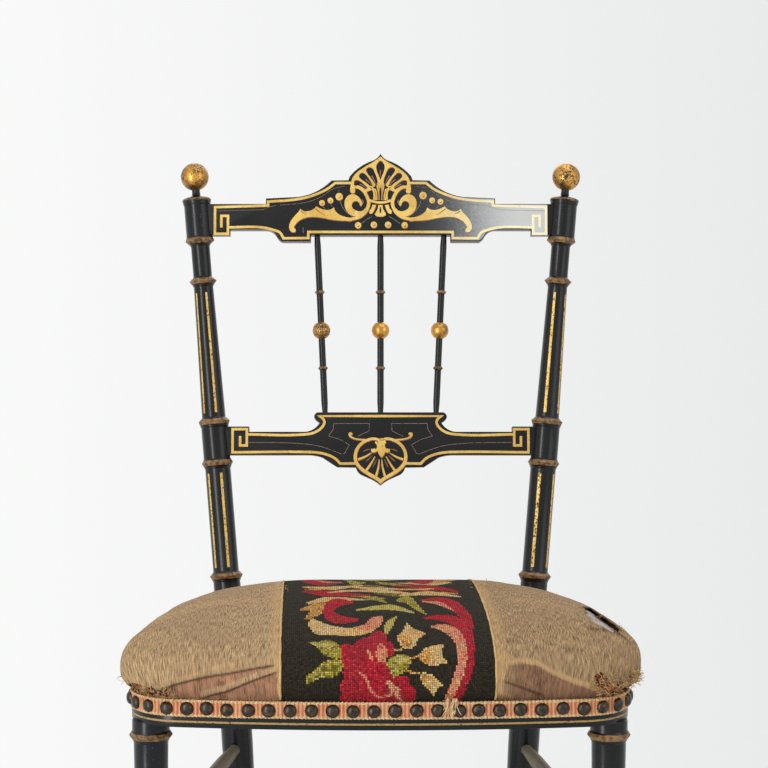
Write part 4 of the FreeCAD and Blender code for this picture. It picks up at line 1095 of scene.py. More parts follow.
def woven(name, light, dark, pitch):  # a plain weave on the piece's own map
    finish = Finish(name)
    across, along, _ = finish.axes(finish.cloth())
    warp = (across * (math.tau / pitch)).sin()
    weft = (along * (math.tau / pitch)).sin()
    over = (warp * weft).step(-0.25, 0.25)
    height = over * abs(warp) + (1 - over) * abs(weft)
    # painted shade: the weave is darker where its threads dip
    colour = finish.mix(height.step(0.1, 0.9), dark, light)
    colour = finish.mix(finish.noise(35, 4).step(0.4, 0.7) * 0.4, colour, scaled(dark, 0.55))
    return finish.surface(Base_Color=colour, Roughness=0.86 + over * 0.08, Sheen_Weight=0.15,
                          Normal=finish.bump(height, 0.6, 0.0005))


webbingCloth = woven("jute webbing", screen(176, 150, 108), screen(118, 92, 60), 0.0026)
hessianCloth = woven("hessian", screen(168, 142, 104), screen(92, 72, 48), 0.0021)


def mapped(shape, rows, unroll):  # unroll gives each vertex its place on the flat cloth, in metres
    layer = shape.loops.layers.uv.new("cloth")
    places = {}
    for number, row in enumerate(rows):
        for spot, vert in enumerate(row):
            places[vert] = unroll(number, spot)
    for face in shape.faces:
        for loop in face.loops:
            loop[layer].uv = places.get(loop.vert, (0, 0))


straps = {
    "across": 64, "width": 48, "along": 66, "thick": 1.0, "margin": 10, "shares": (-1.5, -0.5, 0.5, 1.5),
    "alongLift": 0.6, "acrossLift": 1.8,
}
base = {"lift": 3.6, "inset": 10, "thick": 0.7, "shares": (1.0, 0.8, 0.6, 0.4, 0.2, 0.08)}


def strap(name, first, across, along, counts, node):
    first, across, along = Vector(first), Vector(across), Vector(along)
    paths = []
    for row in range(counts[1] + 1):
        path = []
        for column in range(counts[0] + 1):
            spot = first + across * (column / counts[0]) + along * (row / counts[1])
            path.append(spot + Vector((0, 0, 0.12 * noise.noise(spot * 0.03))))
        paths.append(path)
    shape, rows = strip(paths, False)
    mapped(shape, rows, lambda row, column: (across.length * column / counts[0] / 1000,
                                             along.length * row / counts[1] / 1000))
    bmesh.ops.recalc_face_normals(shape, faces=shape.faces)
    made = piece(name, shape, webbingCloth, [node])
    thickened(made, straps["thick"], 0)


wide, margin, depth = straps["width"], straps["margin"], chair["depth"]
for number, share in enumerate(straps["shares"], start=1):
    left = share * straps["across"] - wide / 2
    strap(f"webbing_along_{number}", (left, frontLine + margin, chair["frameTop"] + straps["alongLift"]),
          (wide, 0, 0), (0, depth - 2 * margin, 0), (8, 60), "webbing_along")
    middle = depth / 2 + share * straps["along"]
    far = middle + wide / 2
    half = chair["halfFront"] - margin - far * (chair["halfFront"] - chair["halfRear"]) / depth
    strap(f"webbing_across_{number}", (-half, frontLine + middle - wide / 2,
                                       chair["frameTop"] + straps["acrossLift"]),
          (2 * half, 0, 0), (0, wide, 0), (60, 8), "webbing_across")

height, inset = chair["frameTop"] + base["lift"], base["inset"]
outer = seatRing(height, inset, chair["frontCorner"] - inset, chair["rearCorner"], inset)
hub = Vector((0, frontLine + depth / 2, height))
shape, rows = loft([[hub.lerp(spot, share) for spot in outer] for share in base["shares"]], top=hub)
flatMap = shape.loops.layers.uv.new("cloth")
for face in shape.faces:
    for loop in face.loops:
        loop[flatMap].uv = (loop.vert.co.x / 1000, loop.vert.co.y / 1000)
hessian = piece("hessian_base", shape, hessianCloth, ["hessian_cloth"])
thickened(hessian, base["thick"], 0)

print("stuffing")
random.seed(11)


def wadding():
    finish = Finish("grey wadding")
    clumps = finish.noise(60, 6, 0.7)
    strands = finish.noise(240, 4, 0.7, stretch=(1, 0.35, 1))
    colour = finish.ramp(clumps, [(0.3, screen(120, 110, 96)), (0.55, screen(176, 168, 156)),
                                  (0.8, screen(206, 200, 190))])
    colour = finish.mix(strands.step(0.55, 0.7) * 0.6, colour, screen(96, 78, 60))
    return finish.surface(Base_Color=colour, Roughness=0.92 + clumps * 0.05,
                          Normal=finish.bump(clumps + strands * 0.6, 0.9, 0.0015))


def settle(made, cap):  # a cloth simulation: the pad swells under a little pressure and stays within its cap
    rest = made.modifiers.new("voxels", "REMESH")
    rest.mode = "VOXEL"
    rest.voxel_size = seat["voxel"] / 1000
    bpy.context.view_layer.update()
    shaped = bpy.data.meshes.new_from_object(made.evaluated_get(bpy.context.evaluated_depsgraph_get()))
    made.modifiers.clear()
    made.data = shaped
    held = made.vertex_groups.new(name="held")
    low = [vert.index for vert in shaped.vertices if vert.co.z < (seat["padLow"] + 4) / 1000]
    held.add(low, 1.0, "REPLACE")
    start = [vert.co.copy() for vert in shaped.vertices]
    cloth = made.modifiers.new("cloth", "CLOTH")
    cloth.settings.use_pressure = True
    cloth.settings.uniform_pressure_force = seat["pressure"]
    cloth.settings.vertex_group_mass = "held"
    cloth.settings.effector_weights.gravity = 0
    cloth.settings.quality = 5
    for number in range(1, 21):
        bpy.context.scene.frame_set(number)
    ended = made.evaluated_get(bpy.context.evaluated_depsgraph_get())
    spots = [vert.co.copy() for vert in ended.data.vertices]
    made.modifiers.clear()
    bpy.context.scene.frame_set(1)
    for vert, begin, end in zip(shaped.vertices, start, spots):
        move = end - begin
        reach = cap / 1000
        vert.co = begin + (move if move.length < reach else move.normalized() * reach)
    shape = bmesh.new()
    shape.from_mesh(shaped)
    bmesh.ops.smooth_vert(shape, verts=shape.verts, factor=0.4, use_axis_x=True, use_axis_y=True,
                          use_axis_z=True)
    shape.to_mesh(shaped)
    shape.free()
    shaped.shade_smooth()


wear = {"fuller": (6.4, 8.4), "outward": (0.05, 0.4), "reach": ((60, 180), (90, 180)),  # left and right
        "sink": 3.0, "rearDrop": 9,
        # from where to where: up the crown, out from the middle, behind the front, and near the rear
        "tall": (434, 462), "aside": (90, 172), "front": (-0.04, 0.16), "behind": (0.3, 0.8),
        "rear": (0.5, 0.95)}


def settled(spot):  # years of use: the seat is full beside the front and low at its rear corners
    along = (spot.y - frontLine) / chair["depth"]
    aside = abs(spot.x)
    front = (smoothStep(*wear["aside"], aside) * smoothStep(*wear["front"], along)
             * (1 - smoothStep(*wear["behind"], along)))
    fuller, outward, reach = (wear[key][spot.x > 0] for key in ("fuller", "outward", "reach"))
    low = wear["sink"] + wear["rearDrop"] * smoothStep(*wear["rear"], along) * smoothStep(*reach, aside)
    moved = Vector((math.copysign(outward, spot.x), 0, 0.8)) * fuller * front
    return spot + (moved - Vector((0, 0, low))) * smoothStep(*wear["tall"], spot.z)


rings, top = crownRings(seat["padDraw"], 16, (), 8, counts=(18, 8, 20, 5, 10))
rings = [[settled(spot) for spot in one] for one in rings]
top = settled(top)
low = [Vector((spot.x * 0.985, spot.y * 0.97 + frontLine * 0.03 + 6, seat["padLow"])) for spot in rings[0]]
for number, spot in enumerate(rings[0]):
    rings[0][number] = Vector((spot.x, spot.y, seat["padLow"] + 1.5))
bottom = Vector((0, frontLine + chair["depth"] / 2, seat["padLow"]))
shape, rows = loft([low] + rings, top=top, bottom=bottom)
padWool = wadding()
pad = piece("stuffing_pad", shape, padWool, ["seat_pad"], sharp=80)
settle(pad, seat["padCap"])
pad.data.materials.clear()
pad.data.materials.append(padWool)
padTree = bvhtree.BVHTree.FromPolygons([vert.co * 1000 for vert in pad.data.vertices],
                                       [face.vertices[:] for face in pad.data.polygons])

print("covers")
# The photograph's camera, in millimetres. Its squares are counted from its left and top edge.
view = {"middle": 384, "focal": 2300, "lens": 107.81, "camera": (3.5, -2108.7, 843.25), "tilt": 85.313}
eye, tilt = Vector(view["camera"]), math.radians(view["tilt"])
ahead = Vector((0, math.sin(tilt), -math.cos(tilt)))
upward = Vector((0, math.cos(tilt), math.sin(tilt)))


def photoSpot(point):  # where the photograph shows a point: across and down, in its squares
    ray = point - eye
    scale = view["focal"] / ray.dot(ahead)
    return (view["middle"] + ray.x * scale, view["middle"] - ray.dot(upward) * scale)


def photoRay(across, down):
    return (ahead + Vector((1, 0, 0)) * ((across - view["middle"]) / view["focal"])
            + upward * ((view["middle"] - down) / view["focal"])).normalized()


def inLoop(loop, x, y):
    inside = False
    for (ax, ay), (bx, by) in zip(loop, loop[1:] + loop[:1]):
        if (ay > y) != (by > y) and x < ax + (y - ay) / (by - ay) * (bx - ax):
            inside = not inside
    return inside


velvet = {
    "wall": (412.2, 416.5, 421), "lump": 0.8, "lumpSize": 0.016, "thick": 1.0, "shownFrom": 424,
    "foldsTo": 250,
    # folds as the photograph shows them: the line, how high it stands and its kind
    "folds": (([(160, 691), (172, 685), (190, 680), (211, 675.4), (229, 672.7), (249, 668.8), (277, 664)],
               1.9, "lap"),
              ([(200, 698), (216, 693.3), (229, 690), (237, 686.7), (253, 680), (278, 671)], 2.0, "lap"),
              ([(176, 680), (215, 668), (250, 661)], 0.7, "ridge"),
              ([(500, 662), (536, 662), (550, 670), (564, 676.7), (578, 682), (597, 688)], 1.5, "ridge"),
              ([(500, 679), (516, 684.7), (532, 690.6), (547, 696)], 1.0, "lap"),
              ([(583, 626), (596, 628.5), (609, 630), (619, 633), (631, 642)], 1.4, "lap"),
              ([(150, 622), (200, 606), (262, 600)], 0.5, "ridge"),
              ([(505, 600), (540, 602), (580, 612)], 0.5, "ridge")),
    # what is torn away: the tear over the wadding, and the worn holes at the front corners
    "tear": [(583.5, 607.8), (590.6, 608.6), (600.2, 615), (609.8, 621.7), (618.4, 628.2), (621, 631),
             (609.8, 632.2), (602.1, 626.5), (593.5, 623.6), (586.8, 617)],
    "holes": {1: ([(595, 675), (601, 672), (607, 676), (608, 684), (603, 690), (597, 686)],
                  [(604, 684), (611, 682), (616, 687), (615, 694), (605, 693)],
                  [(616, 682), (622, 681), (628, 688), (627, 695), (618, 694)]),
              -1: ([(125, 686), (132, 682), (142, 684), (141, 694), (129, 698)],
                   [(146, 688), (152, 686), (158, 690), (155, 699), (146, 698)],
                   [(158, 690), (164, 687), (171, 691), (170, 699), (160, 699)])},
    "areas": {"left": 0.074, "right": 0.073},  # as cut, with the turned edge under the braid
    "linings": {"left": (0.052, 0.0245), "right": (0.0435, 0.033)},
    # how the cloth's colour changes: low down, under the left lap, in its pleat and under the right fold
    "lowPink": (427, 437), "lapFrom": 170, "pleat": -6.5, "rightFold": (1.5, 5), "rightReach": (490, 532),
}
folds = [([tuple(spot) for spot in traced(line)], high, kind) for line, high, kind in velvet["folds"]]
fine = {"counts": (104, 44, 74, 14, 30)}
rings, top = crownRings(0, 66, velvet["wall"], 22, **fine)
rings = [[settled(spot) for spot in one] for one in rings]
shape, rows = loft(rings, top=settled(top))
shape.normal_update()


def foldGap(line, across, down):  # how far below a fold's line, and how strong the fold is there
    for (ax, ay), (bx, by) in zip(line, line[1:]):
        if ax <= across <= bx and bx > ax:
            ends = smoothStep(0, 8, across - line[0][0]) * smoothStep(0, 8, line[-1][0] - across)
            return down - ay - (by - ay) * (across - ax) / (bx - ax), ends
    return 99.0, 0.0


def foldMove(across, down):
    move, shade, pale = 0.0, 0.0, 0.0
    for line, high, kind in folds:
        gap, ends = foldGap(line, across, down)
        if not ends or abs(gap) > 34:
            continue
        if kind == "ridge":
            swell = ends * math.exp(-(gap / 2.6) ** 2)
            move += high * swell
            # painted highlight along a ridge fold
            pale += 0.5 * swell * high
        else:
            above = math.exp(min(0.0, gap) / 9) * (1 - smoothStep(-0.5, 1.0, gap))
            move += high * ends * above
            # painted shadow just below a lap's edge
            shade = max(shade, ends * math.exp(-((gap - 0.9) / 1.15) ** 2))
    return move, shade, min(1.0, pale)


def towardCamera(spot, normal):
    return normal.dot(eye - spot) > 0 and spot.z > velvet["shownFrom"]


def ropeGap(line, x, y):  # how far a spot is from a line of points
    best = math.inf
    for (ax, ay), (bx, by) in zip(line, line[1:]):
        long = (bx - ax) ** 2 + (by - ay) ** 2
        share = min(1.0, max(0.0, ((x - ax) * (bx - ax) + (y - ay) * (by - ay)) / long))
        best = min(best, math.hypot(x - ax - share * (bx - ax), y - ay - share * (by - ay)))
    return best


moves = {}
for vert in shape.verts:
    spot = vert.co
    lumps = noise.noise(spot * velvet["lumpSize"]) + 0.5 * noise.noise(spot * velvet["lumpSize"] * 2.7)
    move = velvet["lump"] * lumps + 0.18 * noise.noise(spot * 0.16)
    if towardCamera(spot, vert.normal) and spot.y < frontLine + velvet["foldsTo"]:
        move += foldMove(*photoSpot(spot))[0]
    ripple = noise.noise(Vector((spot.x * 0.02, spot.y * 0.11, spot.z * 0.11)) + Vector((9, 3, 1)))
    move += 0.45 * ripple * smoothStep(455, 480, spot.z)
    move *= smoothStep(424, 434, spot.z)
    found, _, _, gap = padTree.find_nearest(spot)
    if found is not None and gap < 30:
        move = max(move, 0.5 - (spot - found).dot(vert.normal))
    moves[vert] = vert.normal * move
for vert, move in moves.items():
    vert.co += move
shape.normal_update()
coverTree = bvhtree.BVHTree.FromBMesh(shape)


def onCover(across, down, out=0.0):  # the spot of the covers that the photograph shows at these squares
    hit, normal, _, _ = coverTree.ray_cast(eye, photoRay(across, down))
    return (hit + normal * out) if hit else None


turned = math.radians(seat["panelTurn"])
seatMiddle = Vector((0, frontLine + chair["depth"] / 2, 0))
panelAcross = Vector((math.cos(turned), math.sin(turned), 0))
panelAlong = Vector((-math.sin(turned), math.cos(turned), 0))
flatPlace = {}  # the cloth laid flat again: across and along the seat, with its sides turned out
for number in range(len(rows[0])):
    way = rows[0][(number + 1) % len(rows[0])].co - rows[0][number - 1].co
    out = Vector((way.y, -way.x)).normalized()
    out *= math.copysign(1, out.dot((rows[0][number].co - seatMiddle).xy))
    drop, above = 0.0, rows[-1][number].co
    for level in range(len(rows) - 1, -1, -1):
        here = rows[level][number].co
        drop += (here - above).length - (here - above).xy.length
        flatPlace[(level, number)] = (here.xy + out * drop) / 1000
        above = here
mapped(shape, rows, lambda level, number: flatPlace[(level, number)])
whole = bpy.data.meshes.new("whole_cover")
shape.to_mesh(whole)
shape.free()


def velvetFinish(name, light, mid, dark, wave, rose):
    finish = Finish(name)
    at = finish.cloth()
    drift = finish.node("TexNoise", None, {"Vector": at, "Scale": 46.0, "Detail": 2.0}, out="Color")
    bent = finish.node("VectorMath", {"operation": "MULTIPLY_ADD"},
                       {0: drift, 1: (wave, wave * 0.3, 0.0), 2: at})
    streaks = finish.noise(1150, 3, 0.6, stretch=(1, 0.085, 1), at=bent)
    nap = finish.noise(2300, 3, 0.7, stretch=(1, 0.25, 1), at=bent)
    clumps = finish.noise(130, 5, 0.7, stretch=(1, 0.5, 1), at=at)
    patches = finish.noise(17, 4, 0.6, at=at)
    fibre = streaks * 0.62 + nap * 0.2 + clumps * 0.18
    colour = finish.ramp(fibre, [(0.4, dark), (0.5, mid), (0.6, light)])
    colour = finish.mix(patches.step(0.42, 0.66) * 0.4, colour, screen(148, 118, 92))
    # pale: the tan raw strip beside the panel, and a painted highlight along the ridge folds
    pale = finish.attribute("pale")
    colour = finish.mix(pale * (0.2 + fibre * 0.8), colour, screen(212, 170, 116))
    rosy = finish.ramp(fibre * 0.7 + clumps * 0.3,
                       [(0.42, scaled(rose, 0.42)), (0.5, rose), (0.6, scaled(rose, 1.45))])
    colour = finish.mix((finish.attribute("pink") + (clumps - 0.5) * 1.6).step(0.2, 0.8) * 0.9, colour, rosy)
    specks = finish.noise(820, 4, 0.8, at=at).step(0.6, 0.7)
    colour = finish.mix(specks * 0.35, colour, screen(96, 66, 48))
    # painted shadow under the laps and along the tear's upper edge
    colour = finish.mix(finish.attribute("shade") * 0.85, colour, screen(50, 30, 24))
    height = streaks * 0.6 + nap * 0.6 + clumps * 0.8
    return finish.surface(Base_Color=colour, Roughness=0.86 + nap * 0.1, Specular_IOR_Level=0.2,
                          Normal=finish.bump(height, 0.3, 0.0006))


velvetCloth = {
    -1: velvetFinish("worn velvet, left", screen(198, 168, 127), screen(164, 136, 99), screen(110, 84, 60),
                     0.004, screen(150, 108, 82)),
    1: velvetFinish("worn velvet, right", screen(190, 161, 118), screen(150, 123, 88), screen(94, 74, 50),
                    0.007, screen(122, 88, 67)),
}


def liningFinish():
    finish = Finish("torn lining")
    patch = finish.noise(240, 4, 0.7)
    fray = finish.noise(900, 3, 0.7)
    colour = finish.ramp(patch, [(0.38, screen(40, 18, 14)), (0.5, screen(104, 34, 30)),
                                 (0.6, screen(186, 116, 72))])
    return finish.surface(Base_Color=colour, Roughness=0.85 + fray * 0.1,
                          Normal=finish.bump(patch + fray, 0.6, 0.0008))


liningCloth = liningFinish()


def lining(word, side):  # the dark red lining that shows through the holes
    xs, ys = zip(*(spot for loop in velvet["holes"][side] for spot in loop))
    part = bmesh.new()
    part.from_mesh(whole)
    part.normal_update()
    away = []
    for face in part.faces:
        middle = face.calc_center_median()
        across, down = photoSpot(middle)
        if not (towardCamera(middle, face.normal) and min(xs) - 5 < across < max(xs) + 5
                and min(ys) - 5 < down < max(ys) + 6):
            away.append(face)
    bmesh.ops.delete(part, geom=away, context="FACES")
    for vert in part.verts:
        vert.co -= vert.normal * (1.5 + 0.3 * noise.noise(vert.co * 0.3))
    made = piece("torn_lining_" + word, part, liningCloth, sharp=80)
    thickened(made, 0.5)


def tearOpen(part, side):  # takes away what is torn out of the velvet
    loops = velvet["holes"][side] + ((velvet["tear"],) if side > 0 else ())
    torn = []
    for face in part.faces:
        middle = face.calc_center_median()
        if towardCamera(middle, face.normal):
            across, down = photoSpot(middle)
            jag = 0.9 * noise.noise(middle * 0.5)
            if any(inLoop(loop, across + jag, down + jag) for loop in loops):
                torn.append(face)
    bmesh.ops.delete(part, geom=torn, context="FACES")


def velvetTones(spot, normal, side):  # how pink the velvet is at a spot, with its painted shadow and painted highlight
    across, down = photoSpot(spot)
    pink = 0.75 * (1 - smoothStep(*velvet["lowPink"], spot.z + 6 * noise.noise(spot * 0.03)))
    if not towardCamera(spot, normal) or spot.y >= frontLine + velvet["foldsTo"]:
        return pink, 0.0, 0.0
    _, shade, pale = foldMove(across, down)
    lap, pleat, _, fold = (foldGap(line, across, down) for line, _, _ in folds[:4])
    if side < 0:  # rosy cloth under the two laps, with the tan pleat between them
        if lap[1] > 0 and across > velvet["lapFrom"]:
            pink = max(pink, smoothStep(0, 2, lap[0]))
        if pleat[1] > 0 and velvet["pleat"] < pleat[0] < 0:
            pink *= 0.25
        return pink, shade, pale
    if fold[1] > 0:
        reach = smoothStep(*velvet["rightReach"], across + 8 * noise.noise(spot * 0.06))
        pink = max(pink, 0.85 * smoothStep(*velvet["rightFold"], fold[0]) * reach)
    rim = ropeGap(velvet["tear"][:6], across, down)  # painted shadow along the tear's upper edge
    return pink, max(shade, 0.9 * (1 - smoothStep(0.3, 1.6, rim))), pale


def velvetCover(word, side):
    part = bmesh.new()
    part.from_mesh(whole)
    edge = seatMiddle + panelAcross * side * (seat["panelHalf"] + 0.3)
    bmesh.ops.bisect_plane(part, geom=part.verts[:] + part.edges[:] + part.faces[:], plane_co=edge,
                           plane_no=panelAcross * side, clear_inner=True)
    part.normal_update()
    tearOpen(part, side)
    layers = [part.verts.layers.float.new(name) for name in ("pink", "shade", "pale")]
    for vert in part.verts:
        pink, shade, pale = velvetTones(vert.co, vert.normal, side)
        beside = (vert.co - edge).dot(panelAcross) * side
        pale = max(pale, 0.6 * (1 - smoothStep(3, 13, beside + 6 * noise.noise(vert.co * 0.09))))
        for layer, value in zip(layers, (pink, shade, pale)):
            vert[layer] = value
        if vert.is_boundary and vert.co.z > 426 and beside > 3:
            vert.co += vert.normal * 0.7
    made = piece("velvet_" + word, part, velvetCloth[side], ["velvet_cover_" + word], sharp=70)
    thickened(made, velvet["thick"])


for word, side in sides:
    velvetCover(word, side)
    lining(word, side)

print("needlework")
needle = {"pitch": 1.75, "thick": 1.2, "columns": 102, "squares": 6.03, "corner": (260, 560)}
wools = {
    "black": screen(46, 41, 31), "red": screen(196, 34, 52), "deepRed": screen(158, 24, 44),
    "pink": screen(238, 152, 120), "cream": screen(242, 200, 124), "orange": screen(222, 156, 76),
    "olive": screen(182, 162, 58), "paleGreen": screen(206, 194, 104), "darkOlive": screen(120, 110, 42),
    "paleCream": screen(240, 214, 156), "brown": screen(168, 112, 56), "rose": screen(212, 62, 70),
}
blends = {  # the wools of a neighbouring shade that are worked in among the first, with their shares
    "cream": (("paleCream", 0.3), ("orange", 0.12), ("pink", 0.05)),
    "orange": (("cream", 0.25), ("brown", 0.2)), "olive": (("paleGreen", 0.22), ("darkOlive", 0.22)),
    "paleGreen": (("olive", 0.22), ("cream", 0.16)), "darkOlive": (("olive", 0.3),),
    "red": (("deepRed", 0.16), ("rose", 0.14)), "deepRed": (("red", 0.3),),
    "pink": (("rose", 0.08), ("cream", 0.14)),
}


def columnLine(offset, count=520):  # the cover's line from front to rear at one place across the panel
    start = seatMiddle + panelAcross * offset
    start.z = 430
    hits = []
    for step in range(count + 1):
        angle = math.radians(-6.2 + 192.4 * step / count)
        ray = -panelAlong * math.cos(angle) + Vector((0, 0, math.sin(angle)))
        hit, _, _, _ = coverTree.ray_cast(start, ray)
        if hit is not None:
            hits.append(hit)
    return hits


def spacedOut(line, steps):
    runs = [0.0]
    for one, after in zip(line, line[1:]):
        runs.append(runs[-1] + (after - one).length)
    spots, place = [], 0
    for step in range(steps + 1):
        run = runs[-1] * step / steps
        while place < len(runs) - 2 and runs[place + 1] < run:
            place += 1
        share = (run - runs[place]) / max(1e-9, runs[place + 1] - runs[place])
        spots.append(line[place].lerp(line[place + 1], min(1.0, share)))
    return spots, runs[-1]


half = seat["panelHalf"]
panelLength = spacedOut(columnLine(0), 300)[1]
rowCount = round(panelLength / needle["pitch"])
columns = [spacedOut(columnLine(-half + 2 * half * number / needle["columns"]), rowCount)[0]
           for number in range(needle["columns"] + 1)]


def wool(points):  # from the needlework drawing's squares to the photograph's
    (left, top), squares = needle["corner"], needle["squares"]
    return [(left + spot[0] / squares, top + spot[1] / squares, *spot[2:]) for spot in points]


motifs = []


def stitchBand(colour, points, widths):
    loop = [tuple(spot) for spot in band(wool(points), [wide / needle["squares"] for wide in widths],
                                         steps=4)]
    motifs.append((colour, loop))


def stitchShape(colour, points):
    motifs.append((colour, [tuple(spot) for spot in traced(wool(points), closed=True, steps=3)]))


def stitchDisc(colour, across, down, radius):
    middle = wool([(across, down)])[0]
    motifs.append((colour, [tuple(spot) for spot in disc(*middle, radius / needle["squares"], steps=14)]))


for colour, points, widths in (
        ("olive", [(265, 150), (360, 146), (520, 158)], [6, 20, 6]),
        ("cream", [(430, 150), (560, 142), (720, 140)], [4, 10, 4]),
        ("pink", [(300, 168), (430, 162), (560, 170)], [4, 12, 4]),
        ("darkOlive", [(690, 200), (800, 212), (940, 214)], [4, 14, 4]),
        ("red", [(820, 186), (930, 176), (1030, 190)], [4, 14, 4]),
        ("olive", [(520, 214), (640, 222), (760, 232)], [4, 14, 4]),
        ("orange", [(1010, 204), (1100, 196), (1196, 204)], [4, 10, 4]),
        ("red", [(440, 132), (640, 128), (840, 124)], [6, 14, 6]),
        ("orange", [(470, 172), (660, 164), (820, 176)], [6, 14, 6]),
        ("paleGreen", [(560, 150), (720, 147), (880, 168)], [5, 13, 5]),
        ("pink", [(880, 158), (1040, 140), (1140, 124)], [6, 14, 6]),
        ("red", [(256, 184), (380, 200), (660, 212)], [18, 34, 8]),
        ("cream", [(410, 196), (560, 182), (760, 190), (930, 204)], [6, 18, 20, 6]),
        ("red", [(1000, 182), (1100, 170), (1196, 186)], [8, 20, 26]),
        ("cream", [(840, 214), (1020, 200), (1216, 222)], [8, 26, 6]),
        ("paleGreen", [(980, 168), (1060, 156), (1180, 160)], [5, 12, 5]),
        ("cream", [(284, 262), (380, 240), (520, 236), (640, 240)], [12, 30, 20, 6]),
        ("orange", [(246, 300), (330, 284), (430, 262)], [12, 44, 16]),
        ("orange", [(272, 358), (330, 318), (420, 286)], [14, 52, 30]),
        ("red", [(566, 256), (450, 262), (410, 310), (450, 350), (590, 362)], [10, 62, 66, 62, 16]),
        ("cream", [(300, 366), (352, 408), (430, 424), (560, 434), (660, 414), (740, 356)],
         [44, 84, 56, 46, 46, 16]),
        ("pink", [(560, 412), (640, 404), (700, 372), (742, 346)], [8, 44, 74, 20]),
        ("cream", [(390, 400), (408, 440), (414, 452)], [40, 30, 6]),
        ("paleGreen", [(580, 302), (680, 290), (800, 286), (930, 318)], [6, 26, 34, 8]),
        ("olive", [(624, 240), (700, 232), (770, 262)], [6, 26, 8]),
        ("olive", [(820, 246), (890, 240), (950, 290), (1004, 330)], [10, 50, 32, 6]),
        ("red", [(960, 244), (1080, 238), (1180, 280), (1252, 366), (1268, 420)], [6, 26, 58, 64, 50]),
        ("pink", [(976, 250), (1080, 262), (1166, 304)], [6, 22, 8]),
        ("red", [(986, 348), (1080, 348), (1180, 372), (1248, 440), (1268, 550), (1258, 660), (1214, 770),
                 (1170, 862)],
         [8, 34, 60, 66, 54, 50, 58, 60]),
        ("pink", [(1036, 402), (1110, 408), (1182, 452), (1222, 540), (1214, 640), (1176, 750), (1124, 866)],
         [10, 48, 66, 62, 54, 52, 46]),
        ("paleGreen", [(756, 440), (778, 392), (824, 338)], [30, 50, 8])):
    stitchBand(colour, points, widths)
for across, down, radius in ((520, 548, 46), (548, 606, 66), (640, 560, 92), (712, 486, 60), (762, 540, 52),
                             (574, 680, 76), (528, 768, 48), (610, 800, 90), (540, 836, 56), (720, 700, 100),
                             (700, 820, 90), (852, 752, 58), (884, 812, 62), (800, 830, 70), (650, 650, 110)):
    stitchDisc("red", across, down, radius)
for colour, points, widths in (
        ("deepRed", [(600, 560), (640, 640), (650, 720)], [10, 24, 8]),
        ("deepRed", [(700, 640), (720, 700), (690, 760)], [8, 20, 8]),
        ("deepRed", [(540, 700), (580, 740), (600, 800)], [8, 18, 8]),
        ("pink", [(726, 504), (734, 560), (736, 612)], [22, 84, 44]),
        ("pink", [(654, 544), (666, 580), (682, 612)], [14, 22, 12]),
        ("pink", [(596, 674), (640, 716), (664, 778), (718, 826), (778, 818)], [12, 13, 14, 14, 14]),
        ("pink", [(770, 730), (804, 780), (856, 856)], [14, 40, 14]),
        ("pink", [(776, 826), (812, 784), (852, 776)], [14, 26, 12]),
        ("orange", [(810, 546), (856, 538)], [14, 14]),
        ("orange", [(880, 604), (962, 578)], [14, 14]),
        ("orange", [(856, 662), (966, 688)], [14, 14])):
    stitchBand(colour, points, widths)
for colour, points in (
        ("olive", [(288, 496, 1), (350, 494), (420, 480), (486, 528), (486, 590), (436, 588), (376, 566),
                   (346, 528)]),
        ("paleGreen", [(300, 498, 1), (360, 502), (430, 500), (440, 520), (380, 524), (340, 518)]),
        ("olive", [(276, 756, 1), (282, 704), (336, 660), (386, 612), (492, 606), (500, 646), (454, 700),
                   (352, 716), (306, 738)]),
        ("darkOlive", [(360, 660), (430, 640), (492, 632), (470, 664), (390, 676)]),
        ("olive", [(764, 620), (836, 572), (904, 590), (896, 652), (848, 690), (798, 716, 1), (788, 668)]),
        ("paleGreen", [(800, 600), (840, 580), (896, 598), (850, 622)]),
        ("cream", [(884, 378, 1), (926, 412), (1004, 444, 1), (950, 482), (934, 520), (876, 536), (838, 498),
                   (830, 458), (862, 428)]),
        ("orange", [(850, 500), (900, 470), (910, 520), (876, 532)]),
        ("cream", [(1004, 528), (1108, 508, 1), (1096, 566), (1132, 618, 1), (1026, 636), (966, 606),
                   (960, 572)]),
        ("orange", [(966, 580), (1010, 540), (1030, 580), (1010, 630), (976, 612)]),
        ("cream", [(968, 688), (1020, 684), (1106, 756, 1), (1076, 770), (1048, 822, 1), (1008, 768),
                   (964, 718)]),
        ("orange", [(968, 694), (1010, 700), (1006, 740), (972, 718)])):
    stitchShape(colour, points)
reaches = []
for colour, loop in motifs:
    xs, ys = [spot[0] for spot in loop], [spot[1] for spot in loop]
    reaches.append((min(xs), max(xs), min(ys), max(ys)))


def stitchColour(across, down):
    for (colour, loop), (left, right, high, low) in zip(motifs[::-1], reaches[::-1]):
        if left <= across <= right and high <= down <= low and inLoop(loop, across, down):
            return colour
    return "black"


shape = bmesh.new()
verts = [[shape.verts.new(spot) for spot in column] for column in columns]
for left, right in zip(verts, verts[1:]):
    for row in range(rowCount):
        shape.faces.new((left[row], right[row], right[row + 1], left[row + 1]))
mapped(shape, verts, lambda column, row: (float(column), float(row)))
tint = shape.loops.layers.float_color.new("stitch")
shape.faces.ensure_lookup_table()
drawn = {}

for column in range(needle["columns"]):
    for row in range(rowCount):
        mirrored = row > rowCount // 2  # the rear half is worked as the front half turned round
        c, r = (needle["columns"] - 1 - column, rowCount - 1 - row) if mirrored else (column, row)
        if (c, r) not in drawn:
            middle = (columns[c][r] + columns[c + 1][r + 1]) / 2
            drawn[(c, r)] = stitchColour(*photoSpot(middle))
        colour = drawn[(c, r)]
        pick = random.random()
        for other, share in blends.get(colour, ()):
            if pick < share:
                colour = other
                break
            pick -= share
        vary = 1 + (0.5 if colour == "black" else 0.2) * random.uniform(-1, 1)
        for loop in shape.faces[column * rowCount + row].loops:
            loop[tint] = (*scaled(wools[colour], vary), 1)


